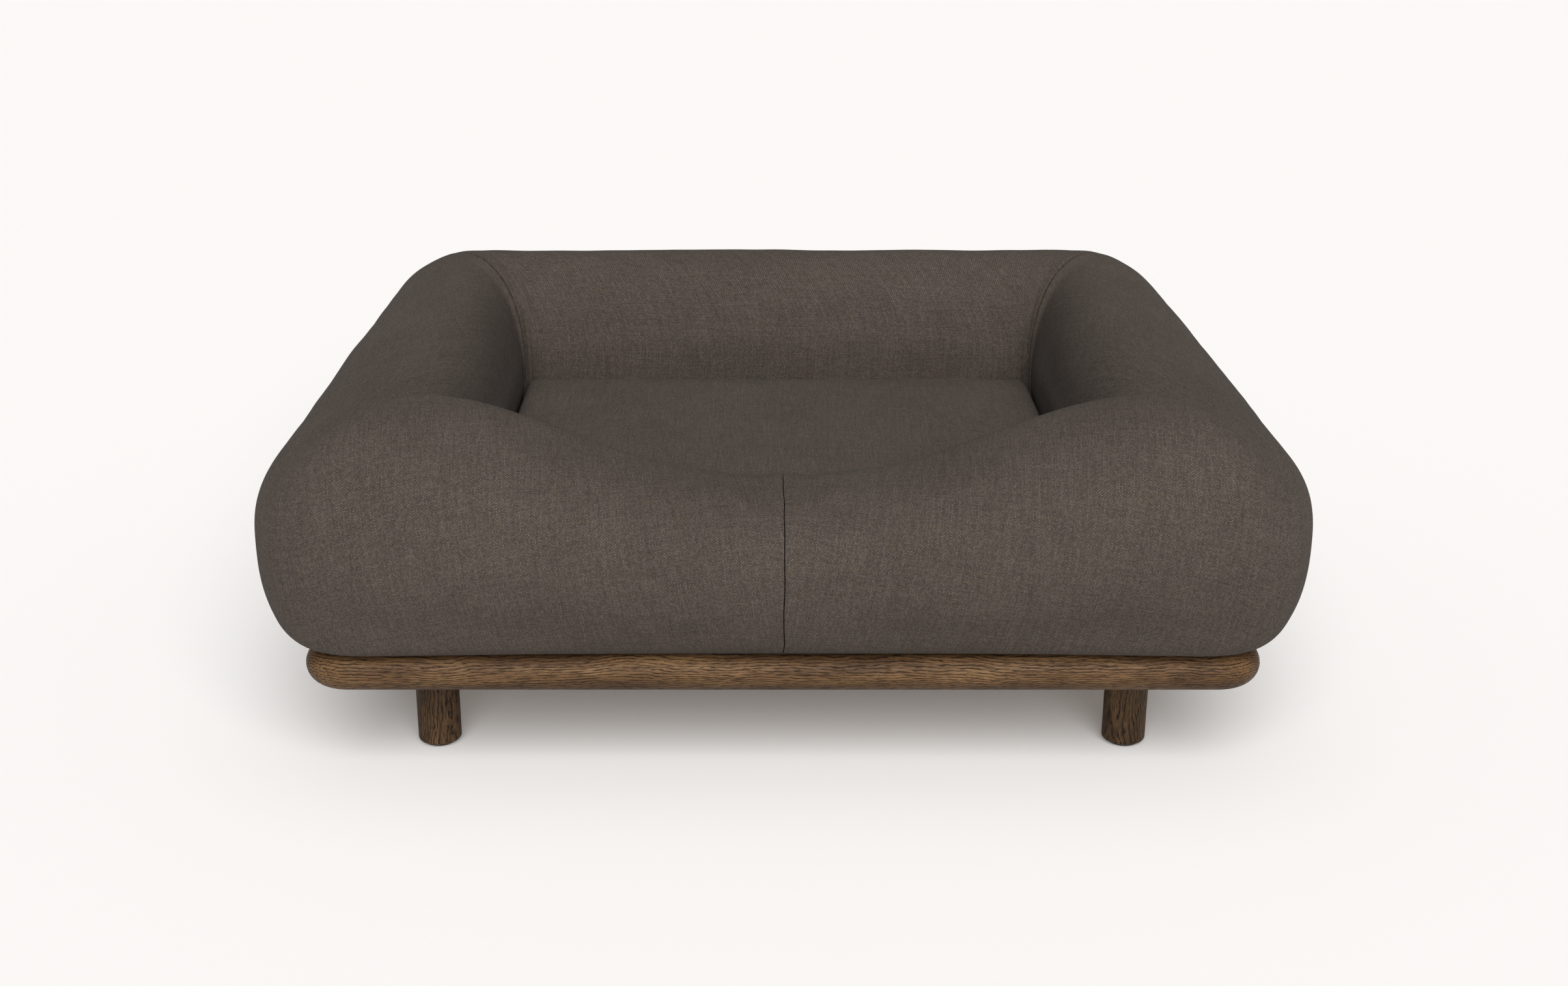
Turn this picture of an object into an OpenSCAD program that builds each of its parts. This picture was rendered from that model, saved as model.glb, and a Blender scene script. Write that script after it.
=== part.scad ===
// Dog bed: a padded ring bed with a loose seat cushion on a low wooden frame with round legs.
// Millimetres. +Z up, front towards -Y. The origin is on the floor under the middle of the frame.

/* [Bed] */
// Outside width of the padded bed
bed_w = 978; // [840:1:1180]
// Outside depth of the padded bed
bed_d = 810; // [720:1:960]
// Thickness of a roll from its inner face to its outer face
roll_w = 189; // [150:1:220]
// Height of the back roll above the frame
back_h = 230; // [190:1:280]
// Height of a side roll above the frame where it meets the front
side_h = 204; // [170:1:260]
// Height of the two front humps above the frame
hump_h = 235; // [190:1:290]
// Height of the low entrance at the middle of the front, above the frame
saddle_h = 151; // [125:1:185]
// Distance from the middle of the front to the top of a hump
hump_x = 289; // [240:1:340]

/* [Roll shape] */
// Outside corner radius at the front, in plan
front_corner_r = 88; // [60:1:140]
// Outside corner radius at the back, in plan
back_corner_r = 104; // [80:1:150]
// Inside corner radius at the front, in plan
inner_corner_r = 28; // [16:1:50]
// Inside corner radius at the back, in plan
mitre_corner_r = 12; // [8:1:30]
// Height of the widest part of the back roll above the frame
back_belly_h = 89; // [60:1:110]
// Height of the widest part of the front corners above the frame
front_belly_h = 118; // [80:1:122]
// Height where the inner faces stand out most
inner_belly_h = 116; // [80:1:122]
// How far a roll's underside is tucked in from its outer face
outer_tuck = 54; // [25:1:62]
// How far a roll's underside is tucked in from its inner face
inner_tuck = 42; // [25:1:60]

/* [Covers] */
// Thickness of the woven cover
cover_t = 1.6; // [1.2:0.1:3]
// Thickness of the non-slip base cloth under the ring
base_t = 2; // [1.5:0.1:4]
// Space between a cover and its filling
fill_gap = 0.6; // [0.4:0.1:2]
// Space between two cover panels at a seam
seam_gap = 0.8; // [0.4:0.1:2]

/* [Seat cushion] */
// Thickness of the seat cushion at its edge
cushion_h = 98; // [70:1:110]
// Extra height of the seat cushion at its middle
cushion_crown = 6; // [0:1:20]
// Corner radius of the seat cushion in plan
cushion_corner_r = 34; // [20:1:60]
// Radius of the seat cushion's long edges
cushion_edge_r = 26; // [15:1:34]
// Space between the seat cushion and the rolls
cushion_gap = 3; // [2:0.5:8]

/* [Frame] */
// Width of the wooden frame
frame_w = 900; // [750:1:1080]
// Depth of the wooden frame
frame_d = 730; // [640:1:860]
// Thickness of the rails
rail_t = 36; // [28:1:45]
// Width of the rails
rail_w = 65; // [50:1:85]
// Outside corner radius of the frame
frame_corner_r = 44; // [30:1:60]
// Diameter of the rail dowels
dowel_d = 10; // [8:1:12]
// Length of the rail dowels
dowel_l = 60; // [40:1:70]

/* [Legs] */
// Height of the underside of the rails above the floor
leg_h = 92; // [60:1:160]
// Diameter of the legs
leg_d = 42; // [34:1:55]
// Distance from the frame's end to a leg's axis, along the width
leg_inset_x = 113; // [108:1:130]
// Distance from the frame's front or back to a leg's axis
leg_inset_y = 92; // [85:1:120]
// Rounding of a leg's foot
leg_round = 3; // [1:0.5:6]
// Thickness of the felt glides
glide_t = 3; // [2:0.5:5]
// Diameter of the felt glides
glide_d = 30; // [20:1:33]
// Width of the bearer boards that carry the slats and legs
bearer_w = 82; // [75:1:110]
// Diameter of the leg bolts
bolt_d = 8; // [6:1:10]
// How far a leg bolt reaches into the leg
bolt_in_leg = 45; // [30:1:50]
// Outside diameter of the threaded inserts in the bearers
insert_d = 13; // [12:0.5:16]
// Length of the threaded inserts
insert_l = 16; // [10:1:18]

/* [Slats] */
// Number of slats
slat_n = 7; // [5:1:9]
// Width of a slat
slat_w = 60; // [40:1:64]
// Thickness of a slat
slat_t = 12; // [9:1:15]
// Diameter of a slat screw's shank
screw_d = 4; // [3:0.5:5]
// Diameter of a slat screw's head
screw_head_d = 8; // [6.5:0.5:10]
// Length of a slat screw
screw_l = 28; // [18:1:30]

/* [Zips] */
// Length of the zip in the back roll
roll_zip_l = 520; // [300:1:560]
// Length of the zip in the seat cushion
seat_zip_l = 480; // [300:1:520]
// Width of a zip tape
tape_w = 32; // [30:1:36]
// Thickness of a zip tape
tape_t = 1; // [0.8:0.1:1.2]
// Width of the zip coil
coil_w = 4; // [3:0.5:5]
// Thickness of the zip coil
coil_t = 1.4; // [1:0.1:1.6]
// Width of a zip slider across the tape
slider_w = 9; // [8:0.5:12]
// Length of a zip slider along the tape
slider_l = 10; // [8:0.5:14]
// Thickness of a zip slider's top plate
slider_t = 1.5; // [1.2:0.1:2]
// Length of a zip pull
pull_l = 13; // [9:0.5:13]
// Width of a zip pull
pull_w = 6; // [5:0.5:8]
// Thickness of a zip pull
pull_t = 1.6; // [1.4:0.1:2]
// Depth of the pocket that hides the seat cushion's zip
zip_pocket = 9; // [8:0.5:12]

/* [Clearances] */
// Space between the bed and the frame, and between the cushion and the ring
rest_gap = 0.3; // [0.3:0.1:1]
// Space around a slider on its coil and tape
slider_gap = 0.4; // [0.3:0.1:0.8]
// Space between a zip pull's eye and the bar it hangs on
eye_gap = 0.25; // [0.15:0.05:0.4]
// Space between each slat's end and the side rail
slat_gap = 1.5; // [0.5:0.5:4]
// Space around a screw, bolt or dowel in its hole
hole_gap = 0.05; // [0.05:0.05:0.3]

/* [Hidden] */
$fn = 48;

OAK = "#5b3d26";
OAK_INSIDE = "#8a6641";
CLOTH = "#6e645b";
FOAM = "#d9cfb4";
FELT = "#4a4642";
STEEL = "#8f8f8f";
ZIP = "#2f2b28";

// Heights
deck_z = leg_h + rail_t;
base_z = deck_z + rest_gap;
ring_z = base_z + base_t;
slat_z = deck_z - slat_t;
bearer_t = rail_t - slat_t;

// Plan sizes
inner_w = bed_w - 2 * roll_w;
inner_d = bed_d - 2 * roll_w;
opening_w = frame_w - 2 * rail_w;
opening_d = frame_d - 2 * rail_w;
leg_x = frame_w / 2 - leg_inset_x;
leg_y = frame_d / 2 - leg_inset_y;
bearer_x = opening_w / 2 - bearer_w / 2;

// ---------- Shape of the rolls ----------

// Share of a roll's width at which its crest stands, seen from its inner face
CREST = 0.42;
FRONT_CREST = 0.48;
// Fullness of the curves: 2 is an ellipse, more is squarer
BOTTOM_FULL = 2.3;
INNER_FULL = 2.2;
BACK_FULL = 1.8;
FRONT_FULL = 2.65;
CORNER_FULL = 2.1;
// Steps along each stretch of the ring, and around a quarter of a roll
FRONT_STEPS = 9;
CORNER_STEPS = 6;
SIDE_STEPS = 4;
MITRE_STEPS = 4;
BACK_STEPS = 2;
QUARTER = 6;

function mix(a, b, t) = a + (b - a) * t;
function ease(t) = let (s = min(max(t, 0), 1)) s * s * (3 - 2 * s);
function on_arc(centre, r, angle) = centre + r * [cos(angle), sin(angle)];
function front_height(x) =
    saddle_h + (hump_h - saddle_h) * (1 - cos(180 * pow(min(abs(x) / hump_x, 1), 1.35))) / 2;

// A station is one upright cut through the ring:
// [outer point, inner point, height, crest share, outer belly, inner belly, outer fullness]
function front_station(t) =
    let (x_in = -t * (inner_w / 2 - inner_corner_r), h = front_height(x_in))
    [[-t * (bed_w / 2 - front_corner_r), -bed_d / 2], [x_in, -inner_d / 2], h, FRONT_CREST,
     min(front_belly_h, h * 0.62), min(inner_belly_h, h * 0.6), FRONT_FULL];

function corner_station(t) =
    let (angle = 270 - 90 * t, rise = ease((0.8 - t) / 0.6))
    [on_arc([front_corner_r - bed_w / 2, front_corner_r - bed_d / 2], front_corner_r, angle),
     on_arc([inner_corner_r - inner_w / 2, inner_corner_r - inner_d / 2], inner_corner_r, angle),
     mix(side_h, hump_h, rise), mix(FRONT_CREST, CREST, t),
     mix(min(front_belly_h, hump_h * 0.62), side_belly(0), t), inner_belly_h,
     mix(FRONT_FULL, CORNER_FULL, sin(180 * t))];

function side_belly(t) = mix((front_belly_h + back_belly_h) / 2, back_belly_h, t);

function side_station(t) =
    [[-bed_w / 2, mix(front_corner_r - bed_d / 2, bed_d / 2 - back_corner_r, t)],
     [-inner_w / 2, mix(inner_corner_r - inner_d / 2, inner_d / 2 - mitre_corner_r, t)],
     mix(side_h, back_h, t), CREST, side_belly(t), inner_belly_h, mix(FRONT_FULL, BACK_FULL, t)];

function mitre_station(t) =
    let (angle = 180 - 45 * t)
    [on_arc([back_corner_r - bed_w / 2, bed_d / 2 - back_corner_r], back_corner_r, angle),
     on_arc([mitre_corner_r - inner_w / 2, inner_d / 2 - mitre_corner_r], mitre_corner_r, angle),
     back_h, CREST, back_belly_h, inner_belly_h, BACK_FULL];

// Between its corners the back roll is straight, with every cut square to it
function back_station(t) =
    let (x = t * (inner_w / 2 - mitre_corner_r))
    [[x, bed_d / 2], [x, inner_d / 2], back_h, CREST, back_belly_h, inner_belly_h, BACK_FULL];

function mirrored(s) = [for (i = [0 : len(s) - 1]) i < 2 ? [-s[i].x, s[i].y] : s[i]];

// Half a superellipse quarter, as a share of each half axis
function bow(angle, full) = pow(max(angle, 0), 2 / full);

// A roll's outline at one station, as [distance from the inner face, height], drawn in by d
function roll_outline(s, d) =
    let (
        w = norm(s[0] - s[1]) - 2 * d,
        h = s[2] - 2 * d,
        crest = w * s[3],
        outer_belly = s[4] - d,
        inner_belly = s[5] - d,
        quarter = [for (k = [0 : QUARTER - 1]) 90 * k / QUARTER]
    )
    [for (p = concat(
        [for (a = quarter)
            [w - outer_tuck + outer_tuck * bow(sin(a), BOTTOM_FULL), outer_belly * (1 - bow(cos(a), BOTTOM_FULL))]],
        [for (a = quarter)
            [crest + (w - crest) * bow(cos(a), s[6]), outer_belly + (h - outer_belly) * bow(sin(a), s[6])]],
        [for (a = quarter)
            [crest * (1 - bow(sin(a), INNER_FULL)), inner_belly + (h - inner_belly) * bow(cos(a), INNER_FULL)]],
        [for (a = quarter)
            [inner_tuck * (1 - bow(cos(a), BOTTOM_FULL)), inner_belly * (1 - bow(sin(a), BOTTOM_FULL))]]
    )) p + [d, d]];

// The outline placed in space, drawn in by d
function roll_ring(s, d) =
    let (across = (s[0] - s[1]) / norm(s[0] - s[1]))
    [for (p = roll_outline(s, d)) [s[1].x + across.x * p.x, s[1].y + across.y * p.x, ring_z + p.y]];

// Moves the ends of a run of stations by the given distances, to leave seam gaps
function shifted(s, d) = [[s[0].x, s[0].y] + d, [s[1].x, s[1].y] + d, s[2], s[3], s[4], s[5], s[6]];

// Triangles between rings of n points; flip turns them inside out, first is the first ring's number
function skin_faces(rings, n, first, flip) =
    [for (r = [0 : rings - 2], k = [0 : n - 1])
        let (
            a = (first + r) * n + k,
            b = (first + r) * n + (k + 1) % n,
            c = (first + r + 1) * n + (k + 1) % n,
            d = (first + r + 1) * n + k
        )
        each flip ? [[a, b, c], [a, c, d]] : [[c, b, a], [d, c, a]]];

function flat(lists) = [for (l = lists) each l];

// A closed solid through a list of rings, capped at both ends
module solid_run(rings) {
    n = len(rings[0]);
    last = len(rings) - 1;
    polyhedron(
        points = flat(rings),
        faces = concat(
            skin_faces(len(rings), n, 0, false),
            [[for (k = [0 : n - 1]) k]],
            [[for (k = [n - 1 : -1 : 0]) last * n + k]]
        ),
        convexity = 8
    );
}

// A tube wall between outer rings and inner rings, open at both ends
module tube_run(outer, inner) {
    n = len(outer[0]);
    m = len(outer);
    polyhedron(
        points = concat(flat(outer), flat(inner)),
        faces = concat(
            skin_faces(m, n, 0, false),
            skin_faces(m, n, m, true),
            [for (k = [0 : n - 1])
                let (j = (k + 1) % n)
                each [[k, m * n + j, m * n + k], [k, j, m * n + j]]],
            [for (k = [0 : n - 1])
                let (j = (k + 1) % n, o = (m - 1) * n, i = (2 * m - 1) * n)
                each [[o + k, i + k, i + j], [o + k, i + j, o + j]]]
        ),
        convexity = 8
    );
}

mitre_shift = seam_gap / 2 * [-sin(45), -sin(45)];
// Stations of the left half, from the middle of the front to the back corner's mitre
left_run = concat(
    [for (k = [0 : FRONT_STEPS - 1]) shifted(front_station(k / FRONT_STEPS), [k == 0 ? -seam_gap / 2 : 0, 0])],
    [for (k = [0 : CORNER_STEPS - 1]) corner_station(k / CORNER_STEPS)],
    [for (k = [0 : SIDE_STEPS - 1]) side_station(k / SIDE_STEPS)],
    [for (k = [0 : MITRE_STEPS]) shifted(mitre_station(k / MITRE_STEPS), k == MITRE_STEPS ? mitre_shift : [0, 0])]
);

// Stations of the back, from the left mitre to the right mitre
back_run = concat(
    [for (k = [0 : MITRE_STEPS - 1])
        let (s = mirrored_back(1 - k / MITRE_STEPS)) k == 0 ? shifted(s, -mitre_shift) : s],
    [for (k = [0 : BACK_STEPS]) back_station(2 * k / BACK_STEPS - 1)],
    [for (k = [1 : MITRE_STEPS])
        let (s = mirrored(mirrored_back(k / MITRE_STEPS)))
        k == MITRE_STEPS ? shifted(s, [mitre_shift.x, -mitre_shift.y]) : s]
);

// The back's half of the left corner: the mitre's stations mirrored about its own diagonal
function mirrored_back(t) =
    let (angle = 90 + 45 * t)
    [on_arc([back_corner_r - bed_w / 2, bed_d / 2 - back_corner_r], back_corner_r, angle),
     on_arc([mitre_corner_r - inner_w / 2, inner_d / 2 - mitre_corner_r], mitre_corner_r, angle),
     back_h, CREST, back_belly_h, inner_belly_h, BACK_FULL];

module roll_cover(run) {
    color(CLOTH)
        tube_run([for (s = run) roll_ring(s, 0)], [for (s = run) roll_ring(s, cover_t)]);
}

module filling(run) {
    color(FOAM)
        solid_run([for (s = run) roll_ring(s, cover_t + fill_gap)]);
}

// Number of the station half way round a front corner, where front and side fillings meet
FILL_SPLIT = FRONT_STEPS + CORNER_STEPS / 2;

module left_roll_cover() { roll_cover(left_run); }
module right_roll_cover() { mirror([1, 0, 0]) roll_cover(left_run); }
module back_roll_cover() { roll_cover(back_run); }

front_fill_run = [for (k = [0 : FILL_SPLIT])
    k == FILL_SPLIT ? shifted(left_run[k], seam_gap / 2 * [sin(45), -sin(45)]) : left_run[k]];
side_fill_run = [for (k = [FILL_SPLIT : len(left_run) - 1])
    k == FILL_SPLIT ? shifted(left_run[k], seam_gap / 2 * [-sin(45), sin(45)]) : left_run[k]];

module front_left_filling() { filling(front_fill_run); }
module front_right_filling() { mirror([1, 0, 0]) filling(front_fill_run); }
module left_side_filling() { filling(side_fill_run); }
module right_side_filling() { mirror([1, 0, 0]) filling(side_fill_run); }
module back_filling() { filling(back_run); }

// ---------- Base cloth ----------

module rounded_plate(w, d, r) {
    square([w - 2 * r, d], center = true);
    square([w, d - 2 * r], center = true);
    for (x = [-1, 1], y = [-1, 1])
        translate([x * (w / 2 - r), y * (d / 2 - r)])
            circle(r);
}

// The ring's covers lie this far above the base cloth
cloth_lift = 0.2;
module base_cloth() {
    color(FELT)
        translate([0, 0, base_z])
            linear_extrude(base_t - cloth_lift)
                rounded_plate(bed_w - 2 * outer_tuck, bed_d - 2 * outer_tuck, front_corner_r);
}

// ---------- Seat cushion ----------

cushion_w = inner_w - 2 * cushion_gap;
cushion_d = inner_d - 2 * cushion_gap;
cushion_z = ring_z + rest_gap;
EDGE_STEPS = 4;
CORNER_POINTS = 5;
CROWN_STEPS = 3;

function plate_outline(w, d, r) =
    [for (q = [0 : 3], k = [0 : CORNER_POINTS])
        let (
            angle = 90 * (q + k / CORNER_POINTS),
            sx = (q == 0 || q == 3) ? 1 : -1,
            sy = q < 2 ? 1 : -1
        )
        on_arc([sx * (w / 2 - r), sy * (d / 2 - r)], r, angle)];

// A ring of the cushion, drawn in by inset at height z
function pad_ring(inset, z) =
    [for (p = plate_outline(cushion_w - 2 * inset, cushion_d - 2 * inset, cushion_corner_r - min(inset, 20)))
        [p.x, p.y, cushion_z + z]];

// The cushion's rings from bottom to top, drawn in by d all over
function pad_rings(d) = concat(
    [for (k = [0 : EDGE_STEPS])
        let (a = 90 * k / EDGE_STEPS)
        pad_ring(d + cushion_edge_r * (1 - sin(a)), d + cushion_edge_r * (1 - cos(a)))],
    [for (k = [0 : EDGE_STEPS])
        let (a = 90 * k / EDGE_STEPS)
        pad_ring(d + cushion_edge_r * (1 - cos(a)), cushion_h - d - cushion_edge_r * (1 - sin(a)))],
    [for (k = [1 : CROWN_STEPS])
        let (t = k / CROWN_STEPS)
        pad_ring(d + cushion_edge_r + t * cushion_d * 0.3, cushion_h - d + cushion_crown * sin(90 * t))]
);

// Middle height of the zip on the cushion's back face, measured from the cushion's underside
seat_zip_z = cushion_h / 2;
// The tape's outer face lies this far inside the cushion's back face
seat_zip_y = cushion_d / 2 - zip_pocket + tape_t;

module zip_slot(depth, margin) {
    translate([0, cushion_d / 2, cushion_z + seat_zip_z])
        cube([seat_zip_l + 2 * margin, 2 * depth, tape_w + 2 * margin], center = true);
}

// How far the cover's lips lie over the zip tape
SLOT_LIP = 1;
module seat_cushion_cover() {
    color(CLOTH)
        difference() {
            solid_run(pad_rings(0));
            solid_run(pad_rings(cover_t));
            zip_slot(2 * cover_t, -SLOT_LIP);
        }
}

module seat_cushion_filling() {
    color(FOAM)
        difference() {
            solid_run(pad_rings(cover_t + fill_gap));
            zip_slot(zip_pocket + fill_gap, fill_gap);
        }
}

// ---------- Zips ----------
// A zip is drawn lying in the XZ plane with its face towards +Y and the tape's outer face at Y = 0

module zip_tape(length) {
    color(ZIP)
        translate([-length / 2, -tape_t, -tape_w / 2])
            cube([length, tape_t, tape_w]);
}

module zip_coil(length) {
    color(ZIP)
        translate([-length / 2, 0, -coil_w / 2])
            cube([length, coil_t, coil_w]);
}

// Places of the slider's plate and of the bar that carries the pull, out from the tape
BAR_CLEAR = 0.5;
EYE_WALL = 0.9;
SLIDER_RIM = 1.2;
OVERLAP = 0.2;
bar_d = 1.6;
post_w = 1.4;
pull_eye_r = bar_d / 2 + eye_gap + EYE_WALL;
plate_y = coil_t + slider_gap;
bar_y = plate_y + slider_t + pull_eye_r + BAR_CLEAR;
// Clear length of the bar between its posts
bar_span = pull_w + 2 * eye_gap;

module zip_slider_body() {
    color(STEEL) {
        translate([-slider_l / 2, plate_y, -slider_w / 2])
            cube([slider_l, slider_t, slider_w]);
        for (side = [-1, 1])
            translate([-slider_l / 2, slider_gap, side * (slider_w - SLIDER_RIM) / 2 - SLIDER_RIM / 2])
                cube([slider_l, coil_t + slider_t, SLIDER_RIM]);
        for (side = [-1, 1])
            translate([side * bar_span / 2 - (side > 0 ? 0 : post_w), plate_y, -bar_d / 2])
                cube([post_w, bar_y - plate_y + bar_d / 2, bar_d]);
        translate([-bar_span / 2 - OVERLAP, bar_y, 0])
            rotate([0, 90, 0])
                cylinder(d = bar_d, h = bar_span + 2 * OVERLAP);
    }
}

module zip_pull_body() {
    color(STEEL)
        difference() {
            union() {
                rotate([0, 90, 0])
                    cylinder(r = pull_eye_r, h = pull_w, center = true);
                translate([-pull_w / 2, -pull_t / 2, -pull_l])
                    cube([pull_w, pull_t, pull_l]);
            }
            rotate([0, 90, 0])
                cylinder(d = bar_d + 2 * eye_gap, h = pull_w + 1, center = true);
        }
}

// The roll zip lies on the lower outer face of the back roll, where the face leans outwards
ZIP_ANGLE = 50;
roll_zip_u = roll_w - outer_tuck + outer_tuck * bow(sin(ZIP_ANGLE), BOTTOM_FULL);
roll_zip_h = back_belly_h * (1 - bow(cos(ZIP_ANGLE), BOTTOM_FULL));
roll_zip_lean = atan2(outer_tuck * cos(ZIP_ANGLE) * bow(sin(ZIP_ANGLE), BOTTOM_FULL) / sin(ZIP_ANGLE),
                      back_belly_h * sin(ZIP_ANGLE) * bow(cos(ZIP_ANGLE), BOTTOM_FULL) / cos(ZIP_ANGLE));

TAPE_STANDOFF = 0.2;
module on_roll_zip() {
    translate([0, inner_d / 2 + roll_zip_u, ring_z + roll_zip_h])
        rotate([-roll_zip_lean, 0, 0])
            translate([0, tape_t + TAPE_STANDOFF, 0])
                children();
}

module on_seat_zip() {
    translate([0, seat_zip_y, cushion_z + seat_zip_z])
        children();
}

roll_slider_x = roll_zip_l / 2 - slider_l;
seat_slider_x = seat_zip_l / 2 - slider_l;

module roll_zip_tape() { on_roll_zip() zip_tape(roll_zip_l); }
module roll_zip_coil() { on_roll_zip() zip_coil(roll_zip_l); }
module roll_zip_slider() { on_roll_zip() translate([roll_slider_x, 0, 0]) zip_slider_body(); }
module roll_zip_pull() {
    on_roll_zip()
        translate([roll_slider_x, bar_y, 0])
            rotate([roll_zip_lean, 0, 0])
                zip_pull_body();
}

module seat_zip_tape() { on_seat_zip() zip_tape(seat_zip_l); }
module seat_zip_coil() { on_seat_zip() zip_coil(seat_zip_l); }
module seat_zip_slider() { on_seat_zip() translate([seat_slider_x, 0, 0]) zip_slider_body(); }
module seat_zip_pull() { on_seat_zip() translate([seat_slider_x, bar_y, 0]) zip_pull_body(); }

// ---------- Wooden frame ----------

// The frame's outer block, with a half-round edge all the way round
module nosed_block() {
    nose = rail_t / 2;
    translate([0, 0, leg_h + nose]) {
        cube([frame_w - 2 * frame_corner_r, frame_d - 2 * nose, rail_t], center = true);
        cube([frame_w - 2 * nose, frame_d - 2 * frame_corner_r, rail_t], center = true);
        for (y = [-1, 1])
            translate([0, y * (frame_d / 2 - nose), 0])
                rotate([0, 90, 0])
                    cylinder(r = nose, h = frame_w - 2 * frame_corner_r, center = true);
        for (x = [-1, 1])
            translate([x * (frame_w / 2 - nose), 0, 0])
                rotate([90, 0, 0])
                    cylinder(r = nose, h = frame_d - 2 * frame_corner_r, center = true);
        for (x = [-1, 1], y = [-1, 1])
            translate([x * (frame_w / 2 - frame_corner_r), y * (frame_d / 2 - frame_corner_r), 0])
                nosed_corner(nose);
    }
}

// A round corner of the frame: a disc with a half-round rim
module nosed_corner(nose) {
    turn = frame_corner_r - nose;
    rotate_extrude() {
        translate([0, -nose])
            square([turn, rail_t]);
        intersection() {
            translate([turn, 0])
                circle(nose);
            translate([turn, -nose])
                square([nose, rail_t]);
        }
    }
}

// Places of the dowels: across the rail's width, from the frame's side
dowel_xs = [for (share = [0.35, 0.72]) frame_w / 2 - rail_w * share];

module dowels_at(xs, d, l) {
    for (x = xs, sx = [-1, 1], sy = [-1, 1])
        translate([sx * x, sy * opening_d / 2, 0])
            rotate([90, 0, 0])
                cylinder(d = d, h = l, center = true);
}

module rail_dowels() {
    color(OAK_INSIDE)
        translate([0, 0, leg_h + rail_t / 2])
            dowels_at(dowel_xs, dowel_d, dowel_l);
}

bearer_dowel_l = 40;
bearer_dowel_xs = [for (side = [-1, 1]) bearer_x + side * bearer_w / 3];

module bearer_dowels() {
    color(OAK_INSIDE)
        translate([0, 0, leg_h + bearer_t / 2])
            dowels_at(bearer_dowel_xs, dowel_d, bearer_dowel_l);
}

module dowel_holes() {
    translate([0, 0, leg_h + rail_t / 2])
        dowels_at(dowel_xs, dowel_d + 2 * hole_gap, dowel_l + 2);
    translate([0, 0, leg_h + bearer_t / 2])
        dowels_at(bearer_dowel_xs, dowel_d + 2 * hole_gap, bearer_dowel_l + 2);
}

module cross_rail() {
    color(OAK)
        difference() {
            intersection() {
                nosed_block();
                translate([-frame_w, -frame_d, 0])
                    cube([2 * frame_w, frame_d - opening_d / 2, deck_z + 1]);
            }
            dowel_holes();
        }
}

module end_rail() {
    nose = rail_t / 2;
    color(OAK)
        difference() {
            translate([-frame_w / 2 + nose, 0, leg_h]) {
                translate([0, -opening_d / 2, 0])
                    cube([rail_w - nose, opening_d, rail_t]);
                translate([0, 0, nose])
                    rotate([90, 0, 0])
                        cylinder(r = nose, h = opening_d, center = true);
            }
            dowel_holes();
        }
}

module front_rail() { cross_rail(); }
module back_rail() { mirror([0, 1, 0]) cross_rail(); }
module left_rail() { end_rail(); }
module right_rail() { mirror([1, 0, 0]) end_rail(); }

// Spacing of the slats over the opening
slat_pitch = opening_d / slat_n;
function slat_y(i) = (i - (slat_n + 1) / 2) * slat_pitch;
screw_x = opening_w / 2 - bearer_w / 3;

// Depth of the screw heads below the slats, and their hexagon sockets
HEAD_SINK = 0.5;
socket_d = 2.6;
socket_h = 1.6;

module at_screws() {
    for (i = [1 : slat_n], side = [-1, 1])
        translate([side * screw_x, slat_y(i), deck_z - HEAD_SINK])
            children();
}

// A countersunk screw with the top of its head at Z = 0; gap is the space left around it
module screw_shape(gap) {
    head_h = (screw_head_d - screw_d) / 2;
    translate([0, 0, -screw_l - gap])
        cylinder(d = screw_d + 2 * gap, h = screw_l + gap);
    translate([0, 0, -head_h])
        cylinder(d1 = screw_d + 2 * gap, d2 = screw_head_d + 2 * gap, h = head_h);
}

module screw_holes() {
    at_screws() {
        screw_shape(hole_gap);
        cylinder(d = screw_head_d + 2 * hole_gap, h = HEAD_SINK + 1);
    }
}
module slat_screws() {
    color(STEEL)
        at_screws()
            difference() {
                screw_shape(0);
                translate([0, 0, -socket_h])
                    cylinder(d = socket_d, h = socket_h + 1, $fn = 6);
            }
}

module slat(i) {
    color(OAK_INSIDE)
        difference() {
            translate([-opening_w / 2 + slat_gap, slat_y(i) - slat_w / 2, slat_z])
                cube([opening_w - 2 * slat_gap, slat_w, slat_t]);
            screw_holes();
        }
}

bolt_in_bearer = 20;
module bearer() {
    color(OAK_INSIDE)
        difference() {
            translate([-bearer_x - bearer_w / 2, -opening_d / 2, leg_h])
                cube([bearer_w, opening_d, bearer_t]);
            dowel_holes();
            screw_holes();
            for (y = [-1, 1])
                translate([-leg_x, y * leg_y, leg_h]) {
                    translate([0, 0, -1])
                        cylinder(d = insert_d + 2 * hole_gap, h = insert_l + 1);
                    cylinder(d = bolt_d + 2 * hole_gap, h = bolt_in_bearer + 1);
                }
        }
}

module left_bearer() { bearer(); }
module right_bearer() { mirror([1, 0, 0]) bearer(); }

// ---------- Legs ----------

module at_legs() {
    for (x = [-1, 1], y = [-1, 1])
        translate([x * leg_x, y * leg_y, 0])
            children();
}

module leg() {
    color(OAK)
        difference() {
            translate([0, 0, glide_t])
                rotate_extrude()
                    union() {
                        translate([0, leg_round])
                            square([leg_d / 2, leg_h - glide_t - leg_round]);
                        square([leg_d / 2 - leg_round, leg_round + 1]);
                        intersection() {
                            translate([leg_d / 2 - leg_round, leg_round])
                                circle(leg_round);
                            square([leg_d, leg_h]);
                        }
                    }
            translate([0, 0, leg_h - bolt_in_leg - 1])
                cylinder(d = bolt_d + 2 * hole_gap, h = bolt_in_leg + 2);
        }
}

module front_left_leg() { translate([-leg_x, -leg_y, 0]) leg(); }
module front_right_leg() { translate([leg_x, -leg_y, 0]) leg(); }
module back_left_leg() { translate([-leg_x, leg_y, 0]) leg(); }
module back_right_leg() { translate([leg_x, leg_y, 0]) leg(); }

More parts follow.
